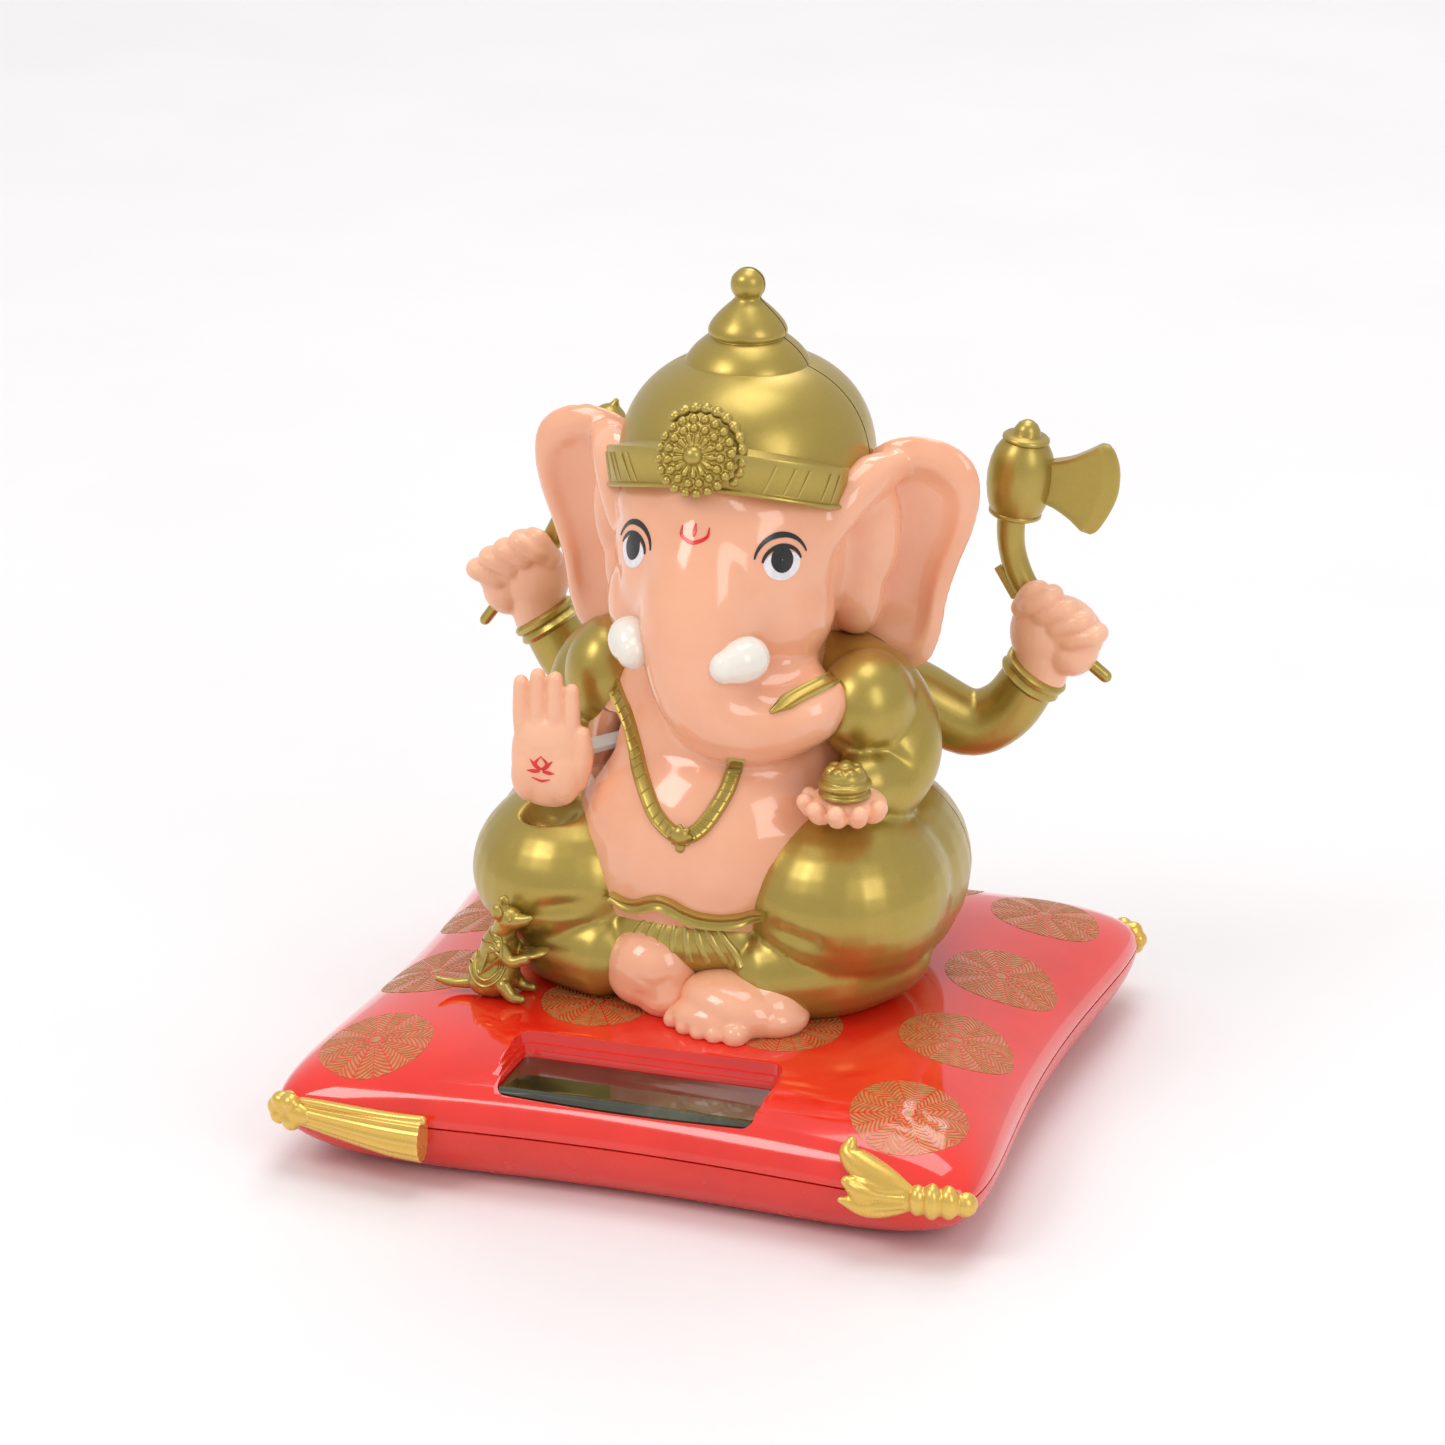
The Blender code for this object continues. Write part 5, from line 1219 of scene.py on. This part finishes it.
# ------------------------------------------------------------------ rear arms
def build_rear_arms():
    """Both rear arms with their cuffs and fists."""
    for label, side in (("left", 1), ("right", -1)):
        route = [(9.0, 17.0, 66.0), (14.0, 22.5, 61.5), (21.5, 28.5, 56.6), (30.0, 31.2, 51.6),
                 (36.0, ARMS_Y, 54.0), (40.4, ARMS_Y, 60.4)]
        points = [(x * side, y, z) for x, y, z in route]
        arm = lump(f"arm_{label}", [tube(points, [5.0, 5.4, 5.5, 5.4, 4.9, 4.5], 26)], 0.4, 6)
        dress(arm, GOLD, f"rear_arm_{label}")
        start, end = np.array(points[-2]), np.array(points[-1])
        along = unit(end - start)
        tilt = math.degrees(math.atan2(along[0], along[2]))
        ring = [(0.02, 1.9), (4.2, 1.9), (4.9, 1.7), (5.4, 1.2), (5.3, 0.5), (4.8, 0.1),
                (5.0, -0.3), (5.3, -0.8), (5.0, -1.3), (4.3, -1.6), (0.02, -1.7)]
        cuff = new_object(f"cuff_{label}", [flipped(lathe(ring, end, 64, (0, tilt, 0)))])
        dress(cuff, GOLD, f"rear_arm_{label}", angle=40)
        build_fist(label, side)


def build_fist(label, side):
    """A closed hand: the back of the hand, four short curled fingers and the thumb on top."""
    def at(x, y, z):
        return np.array([x * side, y, z])

    shapes = [
        ellipsoid(at(42.4, 31.6, 67.8), (5.7, 4.9, 6.8)),
        ellipsoid(at(46.2, 31.2, 69.0), (6.0, 4.4, 4.6), (0, 38 * side, 0)),
        ellipsoid(at(46.6, 31.4, 65.8), (4.4, 4.5, 4.6)),
        tube([at(41.6, 32, 60.6), at(42.2, 31.8, 65.0)], [4.2, 4.7], 22),
        tube([at(38.8, 29.8, 72.0), at(40.4, 29.0, 75.0), at(41.9, 29.4, 75.6)], [1.7, 1.6, 1.4], 16),
    ]
    inner = [(40.9, 73.4), (43.1, 71.8), (45.2, 70.0), (47.5, 68.0)]
    outer = [(43.6, 74.7), (46.3, 73.0), (48.7, 71.4), (50.9, 69.2)]
    for (x, z), (far_x, far_z) in zip(inner, outer):
        shapes.append(tube([at(x - 1.2, 28.4, z - 0.5), at(x, 27.7, z), at(far_x, 27.7, far_z),
                            at(far_x + 0.5, 29.6, far_z + 0.1), at(far_x - 0.4, 32.0, far_z - 0.4)],
                           [1.2, 1.45, 1.5, 1.5, 1.4], 16))
    fist = lump(f"fist_{label}", shapes, 0.3, 5)
    dress(fist, SOFT_PEACH, f"rear_fist_{label}")


def build_axe():
    """The stick with its barrel, and the bevelled blade."""
    stick = [(52.0, 61.4), (48.4, 64.2), (44.0, 68.0), (40.4, 72.6), (37.9, 76.6), (36.6, 80.6),
             (36.3, 84.6), (36.8, 89.0)]
    shaft = tube([(x, ARMS_Y, z) for x, z in stick], [1.0, 1.05, 1.25, 1.9, 2.1, 2.1, 2.2, 2.3], 24)
    fin_outline = [(33.9, 77.3), (34.7, 77.9), (37.0, 75.6), (38.4, 72.4), (36.7, 72.7)]
    fin_points = [(x, ARMS_Y + y, z) for y in (-0.45, 0.45) for x, z in fin_outline]
    fin_faces = [(0, 1, 2, 3, 4), (9, 8, 7, 6, 5)]
    fin_faces += [(i, i + 5, (i + 1) % 5 + 5, (i + 1) % 5) for i in range(5)]
    fin = flipped((np.array(fin_points), fin_faces))
    profile = [(0.02, 15.3), (0.8, 15.2), (1.5, 14.7), (2.0, 13.9), (2.1, 13.2), (2.3, 12.95), (3.3, 12.9),
               (3.65, 12.6), (3.7, 12.2), (3.4, 11.9), (3.8, 11.4), (4.5, 10.2), (5.0, 8.4), (5.2, 6.4),
               (5.1, 4.4), (4.7, 2.4), (4.2, 0.9), (4.0, 0.5), (4.15, 0.3), (4.1, -0.1), (3.8, -0.3),
               (3.0, -0.4), (0.02, -0.4)]
    barrel = lathe(profile, (36.9, ARMS_Y, 86.6), 64, (0, 7.2, 0))
    outline_top = [(41.2, 95.4), (42.7, 95.7), (45.5, 96.4), (48.0, 97.6), (50.3, 98.9), (51.6, 99.1)]
    edge = [(51.6, 99.1), (52.6, 97.8), (53.3, 95.6), (53.4, 93.2), (53.0, 90.6), (51.8, 87.8),
            (50.2, 85.2), (49.0, 84.4)]
    outline_low = [(49.0, 84.4), (47.7, 85.1), (45.8, 86.8), (43.6, 88.2), (41.9, 88.9), (41.0, 89.2)]
    top, rim, low = curve(outline_top, 5), curve(edge, 5), curve(outline_low, 5)[::-1]
    columns, rows = 34, 25

    def spaced(line):
        spots = np.linspace(0, 1, len(line))
        return np.column_stack([np.interp(np.linspace(0, 1, columns), spots, line[:, k]) for k in (0, 1)])

    grid_top, grid_low = spaced(top), spaced(low)
    sheets = []
    for face_side in (-1, 1):
        sheet = []
        for t in np.linspace(0, 1, rows):
            target = np.array([np.interp(t, np.linspace(0, 1, len(rim)), rim[:, k]) for k in (0, 1)])
            straight = grid_top[-1] * (1 - t) + grid_low[-1] * t
            for j, s in enumerate(np.linspace(0, 1, columns)):
                x, z = grid_top[j] * (1 - t) + grid_low[j] * t + (target - straight) * s**2
                # a flat cheek, a bevelled cutting edge and a raised hem above and below
                hem = math.exp(-(t / 0.05) ** 2) + math.exp(-((1 - t) / 0.05) ** 2)
                thick = (0.95 if s < 0.80 else 0.95 - 3.6 * (s - 0.80)) + 0.25 * hem * (s < 0.84)
                sheet.append((x, ARMS_Y + face_side * thick, z))
        sheets.append(sheet)
    blade = slab(*sheets, columns)
    handle = new_object("axe_head", [flipped(barrel), flipped(shaft), fin])
    dress(handle, GOLD, "axe", angle=50)
    dress(new_object("axe_blade", [blade]), GOLD, "axe", angle=24)


def build_goad():
    """The stick with a knob, a spike and a hook."""
    def at(x, z):
        return (x, ARMS_Y, z)

    shapes = [
        tube([at(-51.2, 59.4), at(-47.6, 64.2), at(-44, 68.0), at(-39.6, 74.0), at(-34.6, 83.5), at(-30.0, 94)],
             [0.95, 1.05, 1.25, 1.8, 2.1, 2.2], 22),
        ellipsoid(at(-29.6, 94.6), (3.0, 2.8, 3.4)),
        tube([at(-29.4, 95.5), at(-28.4, 98.6)], [1.8, 0.5], 12, 3),
        tube([at(-30, 95), at(-34.2, 96.0), at(-35.4, 92.4)], [1.6, 1.4, 0.7], 14, 5),
    ]
    dress(lump("goad_staff", shapes, 0.35, 3), GOLD, "goad")


# ---------------------------------------------------------------- front hands
def build_blessing_hand():
    """The raised hand, which rides on the swing, and the mark on its palm."""
    x, y, z = BLESSING_HAND
    at = places_from(x, y, z)
    shapes = [
        ellipsoid(at(0, 0.1, -0.6), (5.9, 2.6, 7.4), (0, 0, 0), 18, 30, 2.5),
        ellipsoid(at(2.6, -0.7, -2.6), (3.0, 2.2, 4.6)),
        ellipsoid(at(-3.0, -0.6, -2.8), (2.7, 2.1, 4.4)),
    ]
    tips = [(-4.2, 11.7, 1.35), (-1.45, 13.0, 1.42), (1.35, 12.8, 1.42), (4.0, 11.2, 1.32)]
    for dx, tip, size in tips:
        shapes.append(tube([at(dx * 0.92, 0.2, 2.0), at(dx, 0.0, 7.0), at(dx, 0.1, tip)],
                           [size * 1.05, size, size * 0.86], 16))
    shapes.append(tube([at(4.4, 0.4, -3.4), at(5.6, 0.1, 0.4), at(5.7, 0.0, 4.4)], [1.9, 1.7, 1.25], 16))

    def sculpt(values, normal):
        lines = [
            [(x - 4.2, y - 2.6, z + 2.6), (x - 0.5, y - 2.9, z + 1.6), (x + 3.4, y - 2.6, z + 2.6)],
            [(x + 1.2, y - 2.9, z + 1.0), (x - 0.6, y - 3.0, z - 2.4), (x - 0.2, y - 2.6, z - 6.2)],
        ]
        for line in lines:
            values = crease(values, normal, line, 0.55, 0.22)
        for dx, _, _ in tips:
            knuckle = [(x + dx - 1.2, y - 1.7, z + 6.6), (x + dx + 1.2, y - 1.7, z + 6.6)]
            values = crease(values, normal, knuckle, 0.45, 0.14)
        return values

    hand = lump("raised_hand", shapes, 0.26, 4, sculpt)
    tree = tree_of(hand)
    dress(hand, SOFT_PEACH, "blessing_hand", body=SWINGING)
    place = surface_frame(tree, x - 0.2, z - 1.4)
    prints = [stroke([(0, 2.4), (side * 0.9, 1.2), (0, 0.25)], [0.1, 0.5, 0.3], place) for side in (1, -1)]
    for angle in (52, 100, -52, -100):
        c, s = math.sin(math.radians(angle)), math.cos(math.radians(angle))
        leaf = [(0.25 * c, 0.25 * s), (1.2 * c, 1.2 * s + 0.1), (2.3 * c, 2.3 * s + 0.35)]
        prints.append(stroke(leaf, [0.3, 0.62, 0.1], place))
    prints.append(stroke([(-1.5, -1.15), (0, -1.6), (1.5, -1.15)], [0.12, 0.42, 0.12], place))
    dress(new_object("palm_mark", prints), RED_INK, body=SWINGING, angle=40)


def build_offering():
    """The open hand and the bowl of sweets on it."""
    cx, cy, _ = OFFERING_HAND
    at = places_from(*OFFERING_HAND)
    shapes = [
        ellipsoid(at(0, 1.0, -0.2), (6.0, 5.4, 2.5)),
        tube([at(0.9, 9.5, 0.4), at(0.6, 4.5, -0.1)], [3.4, 3.0], 18),
    ]
    fingers = [(-178, 6.0, 1.30), (-150, 6.6, 1.45), (-118, 7.0, 1.5), (-88, 7.0, 1.5), (-58, 6.9, 1.45),
               (-24, 6.2, 1.5)]
    for degrees, reach, size in fingers:
        angle = math.radians(degrees)
        c, s = math.cos(angle), math.sin(angle)
        bend = reach * 0.82
        route = [at(2.6 * c, 1.0 + 2.6 * s, -0.9), at(bend * c, 1.0 + bend * s, -0.7),
                 at(reach * c, 1.0 + reach * s, 0.5)]
        shapes.append(tube(route, [1.3, size, size * 0.92], 14))
    hand = lump("open_hand", shapes, 0.26, 4)
    dress(hand, SOFT_PEACH, "offering_hand")
    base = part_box("sweet")[0].z / MM
    profile = [(0.02, 4.4), (1.2, 4.35), (2.4, 4.05), (3.1, 3.5), (3.35, 2.95), (3.2, 2.5), (3.35, 2.3),
               (3.95, 2.1), (4.1, 1.7), (3.9, 1.3), (3.5, 1.05), (3.45, 0.7), (3.9, 0.45), (4.0, 0.05),
               (3.6, -0.3), (0.02, -0.4)]
    treat = [flipped(lathe(profile, (cx, cy - 0.6, base), 64))]
    for i in range(7):
        angle = 2 * math.pi * i / 7
        spot = (cx + 2.0 * math.cos(angle), cy - 0.6 + 2.0 * math.sin(angle), base + 3.8)
        treat.append(ellipsoid(spot, (1.05, 1.05, 0.75), (0, 0, 0), 10, 14))
    treat.append(ellipsoid((cx, cy - 0.6, base + 4.2), (1.2, 1.2, 0.8), (0, 0, 0), 10, 14))
    dress(lump("sweet_bowl", treat, 0.18, 2), GOLD, "sweet")


# ---------------------------------------------------------------------- mouse
def build_mouse():
    """The mouse beside the knee, with the hem of its cloth."""
    at = places_from(-29.0, -23.5, CROWN)
    shapes = [
        ellipsoid(at(-0.3, 0, 3.4), (4.0, 3.9, 4.2)),
        ellipsoid(at(0.6, -0.4, 7.2), (2.9, 3.0, 4.6), (0, 14, 0)),
        ellipsoid(at(-1.4, -1.2, 1.9), (2.6, 2.2, 2.2)),
        tube([at(1.6, -1.0, 10.2), at(2.4, -1.3, 12.3)], [1.9, 1.9], 16),
        ellipsoid(at(2.8, -1.5, 13.0), (2.2, 1.9, 1.9), (0, -16, 0)),
        tube([at(3.4, -1.7, 12.8), at(5.6, -2.2, 13.4), at(6.6, -2.4, 13.9)], [1.5, 0.95, 0.5], 14),
        ellipsoid(at(1.4, 0.4, 14.6), (1.15, 0.6, 1.3), (0, -20, 20)),
        ellipsoid(at(1.4, -3.1, 14.5), (1.15, 0.6, 1.3), (0, -20, -20)),
        tube([at(1.8, -2.6, 8.6), at(3.8, -3.6, 6.9), at(6.2, -3.6, 7.6)], [1.15, 1.0, 0.85], 14),
        tube([at(1.8, 1.0, 8.6), at(3.8, 0.8, 6.9), at(6.2, -0.6, 7.6)], [1.1, 1.0, 0.85], 14),
        ellipsoid(at(7.4, -2.4, 8.3), (2.3, 2.0, 0.6), (0, -14, 0)),
        tube([at(2.2, -2.6, 2.2), at(3.6, -3.0, 0.8), at(5.2, -3.1, 0.6)], [1.3, 0.95, 0.7], 12),
        tube([at(2.2, 1.6, 2.2), at(3.6, 1.8, 0.8), at(5.2, 1.8, 0.6)], [1.3, 0.95, 0.7], 12),
        tube([at(-2.4, 0, 1.4), at(-5.6, -0.3, 0.8), at(-7.6, -0.7, 0.8), at(-9.4, -1.2, 1.4)],
             [1.15, 0.85, 0.65, 0.4], 12),
    ]

    def sculpt(values, normal):
        mouth = [at(1.0, -3.2, 10.6), at(2.4, -3.2, 10.4), at(3.8, -2.6, 10.9)]
        return crease(values, normal, mouth, 0.4, 0.25)

    body = lump("mouse_body", shapes, 0.2, 3, sculpt)
    subtract(body, seat_shape())
    tree = tree_of(body)
    dress(body, GOLD, "mouse")
    outline = [(-2.6, 10.2), (-3.4, 6.6), (-2.8, 3.6), (-0.6, 2.3), (1.8, 3.9), (2.4, 7.0), (1.6, 10.4)]
    rims = []
    for scale in (1.0, 0.72):
        ring = curve([(x * scale, 6.4 + (z - 6.4) * scale) for x, z in outline + outline[:1]], 6)[:-1]
        hits = [project(tree, at(x, -14, z), (0, 1, 0)) for x, z in ring]
        hem = [(-0.22, -0.3), (-0.2, 0.2), (0, 0.34), (0.2, 0.2), (0.22, -0.3)]
        rims.append(flipped(strip([p for p, _ in hits], [n for _, n in hits], hem, closed=True)))
    dress(new_object("mouse_cloth_hem", rims), GOLD, angle=60)
    eyes = [ellipsoid(spot, (0.36, 0.3, 0.36), (0, 0, 0), 8, 12)
            for spot in (at(3.5, -3.1, 13.5), at(3.9, 0.2, 13.5))]
    dress(new_object("mouse_eyes", eyes), GOLD)


# -------------------------------------------------------------------- tassels
def build_tassels():
    """Three tassels with a straight fluted skirt along the edge, and one swept up like a flame."""
    for number, side_x, side_y in ((1, -1, -1), (3, -1, 1), (4, 1, 1)):
        def at(x, y, z):
            return np.array([(x + 0.8) * side_x, (y + 0.3) * side_y, z])

        lobes = [ellipsoid(at(51.0, 50.9, 9.4), (2.3, 2.3, 2.7))]
        for x, y, z in ((52.3, 51.6, 10.6), (52.6, 51.4, 8.2), (50.4, 52.4, 10.8), (50.2, 52.7, 8.0),
                        (53.2, 51.0, 9.4)):
            lobes.append(ellipsoid(at(x, y, z), (1.55, 1.5, 1.5)))
        lobes.append(tube([at(49.4, 52.2, 9.4), at(48.2, 52.4, 9.2)], [1.9, 1.75], 18))
        knot = lump(f"tassel_knot_{number}", lobes, 0.25, 3)
        dress(knot, TASSEL, f"tassel_{number}")
        path = [at(48.6, 52.1, 9.2), at(45, 52.6, 9.0), at(39, 53.4, 8.8), at(33.5, 53.9, 8.6),
                at(28.6, 54.0, 8.5)]
        skirt = tube(path, [1.25, 1.45, 1.8, 2.1, 2.2], 72, 9, 1.55, 14, 0.05, True)
        hem_path = [spot + (0, 0, 2.1 + 0.3 * i) for i, spot in enumerate(path)]
        hem = tube(hem_path, [0.6, 0.7, 0.75, 0.75, 0.7], 14, 6)
        skirts = new_object(f"tassel_skirt_{number}", [flipped(skirt), flipped(hem)])
        dress(skirts, TASSEL, f"tassel_{number}", angle=55)
    beads = [
        ellipsoid((53.4, -51.0, 9.1), (1.9, 1.9, 1.9)),
        ellipsoid((51.2, -52.0, 9.5), (1.7, 2.2, 2.6), (0, 0, 20)),
        ellipsoid((48.9, -52.6, 9.6), (1.6, 2.3, 2.8), (0, 0, 14)),
        ellipsoid((46.8, -52.8, 9.6), (1.5, 2.0, 2.4), (0, 0, 10)),
    ]
    knot = lump("tassel_knot_2", beads, 0.22, 3)
    dress(knot, TASSEL, "tassel_2")
    join = (46.8, -52.2, 9.6)
    flame = [
        tube([join, (42.4, -51.8, 11.0), (38.6, -51.4, 12.6), (36.0, -51.0, 14.6), (36.0, -50.4, 16.2)],
             [1.5, 2.3, 2.4, 1.7, 0.9], 20, 6),
        tube([join, (42.0, -52.6, 9.6), (38.6, -53.6, 10.4), (36.4, -54.0, 11.6)], [1.5, 2.4, 2.1, 0.9], 20, 6),
        tube([join, (42.0, -53.0, 8.6), (39.0, -54.0, 8.2), (35.8, -55.0, 9.0)], [1.5, 2.2, 1.7, 0.5], 20, 6),
    ]

    def fluted(values, normal):
        for shift in (-1.6, -0.4, 0.8):
            route = [(44.6, -54.0, 9.8 + shift), (41.4, -55.0, 10.0 + shift * 1.3),
                     (37.6, -54.6, 11.0 + shift * 1.8)]
            values = crease(values, normal, route, 0.42, 0.35)
        return values

    skirt = lump("tassel_skirt_2", flame, 0.2, 6, fluted)
    dress(skirt, TASSEL, "tassel_2")


# ------------------------------------------------------------------ internals
def dress_nodes():
    """Materials of the inner parts, which are shown as they are."""
    looks = {
        "solar_cell": CELL, "red_wire": RED_WIRE, "black_wire": BLACK_WIRE, "circuit_board": BOARD,
        "coil_bobbin": WHITE, "drive_coil": COPPER, "capacitor": BLACK, "driver_chip": BLACK,
        "swing_frame": WHITE, "swing_lever": WHITE, "swing_shaft": STEEL, "magnet": NICKEL,
        "counterweight": STEEL,
    }
    for name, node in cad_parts.items():
        look = looks.get(name, STEEL if "screw" in name else None)
        if look:
            node.data.materials.clear()
            node.data.materials.append(look)


# ----------------------------------------------------------------------- room
CAMERA_PLACE = (0.22366, -0.68140, 0.32832)      # metres
CAMERA_AIM = (-0.29225, 0.88940, -0.35152)
CAMERA_LENS = 124.57


def floor_look():
    look = Look("floor_look")
    tones = [(0.3, (0.85, 0.835, 0.84)), (0.7, (0.88, 0.87, 0.875))]
    look.feed(look.ramp(look.noise(9.0, 5.0), tones), "Base Color")
    look.feed(look.spread(look.noise(400.0, 3.0), 0.36, 0.50), "Roughness")
    look.bump(look.noise(300.0, 3.0), 0.02, 0.1)
    return look.material


def area_light(name, location, target, size, power, colour, size_y=None):
    data = bpy.data.lights.new(name, "AREA")
    data.energy = power
    data.color = colour
    data.size = size
    if size_y:
        data.shape = "RECTANGLE"
        data.size_y = size_y
    lamp = bpy.data.objects.new(name, data)
    bpy.context.scene.collection.objects.link(lamp)
    lamp.location = location
    lamp.rotation_mode = "QUATERNION"
    lamp.rotation_quaternion = (Vector(target) - Vector(location)).to_track_quat("-Z", "Y")
    return lamp


def build_room():
    """Floor, soft light and camera."""
    plane = np.array([(-3000, -3000, 0), (3000, -3000, 0), (3000, 3000, 0), (-3000, 3000, 0)], float)
    floor = new_object("floor", [(plane, [(0, 1, 2, 3)])])
    floor.location.z = -0.0002
    floor.data.materials.append(floor_look())
    world = bpy.data.worlds.new("soft_room")
    bpy.context.scene.world = world
    world.use_nodes = True
    world.node_tree.nodes["Background"].inputs["Color"].default_value = (0.97, 0.96, 0.97, 1.0)
    world.node_tree.nodes["Background"].inputs["Strength"].default_value = 0.70
    area_light("key", (-0.55, -0.62, 0.95), (0, 0, 0.06), 0.44, 3.3, (1.0, 0.98, 0.96))
    area_light("fill", (0.85, -0.55, 0.66), (0, 0, 0.06), 0.37, 2.1, (1.0, 0.97, 0.96), 0.63)
    area_light("top", (0.03, 0.20, 1.50), (0, 0.10, 0), 0.80, 5.6, (1.0, 1.0, 1.0))
    area_light("back", (-0.07, 0.95, 1.15), (0, 0.25, 0), 0.55, 3.4, (1.0, 0.98, 0.98))
    camera_data = bpy.data.cameras.new("camera")
    camera_data.sensor_width = 36
    camera_data.lens = CAMERA_LENS
    camera_data.clip_start = 0.05
    camera_data.clip_end = 20
    camera = bpy.data.objects.new("camera", camera_data)
    bpy.context.scene.collection.objects.link(camera)
    camera.location = CAMERA_PLACE
    camera.rotation_mode = "QUATERNION"
    camera.rotation_quaternion = Vector(CAMERA_AIM).to_track_quat("-Z", "Y")
    bpy.context.scene.camera = camera
    bpy.context.scene.view_settings.view_transform = "Standard"


build_room()
build_cushion()
build_medallions()
skin = build_skin()
robe = build_robe()
skin_tree, robe_tree = tree_of(skin), tree_of(robe)
build_feet()
build_hat()
build_band()
build_brooch()
build_eyes(skin_tree)
build_forehead_mark(skin_tree)
build_necklace(skin_tree)
build_belt(skin_tree, robe_tree)
build_tusks()
build_rear_arms()
build_axe()
build_goad()
build_blessing_hand()
build_offering()
build_mouse()
build_tassels()
dress_nodes()
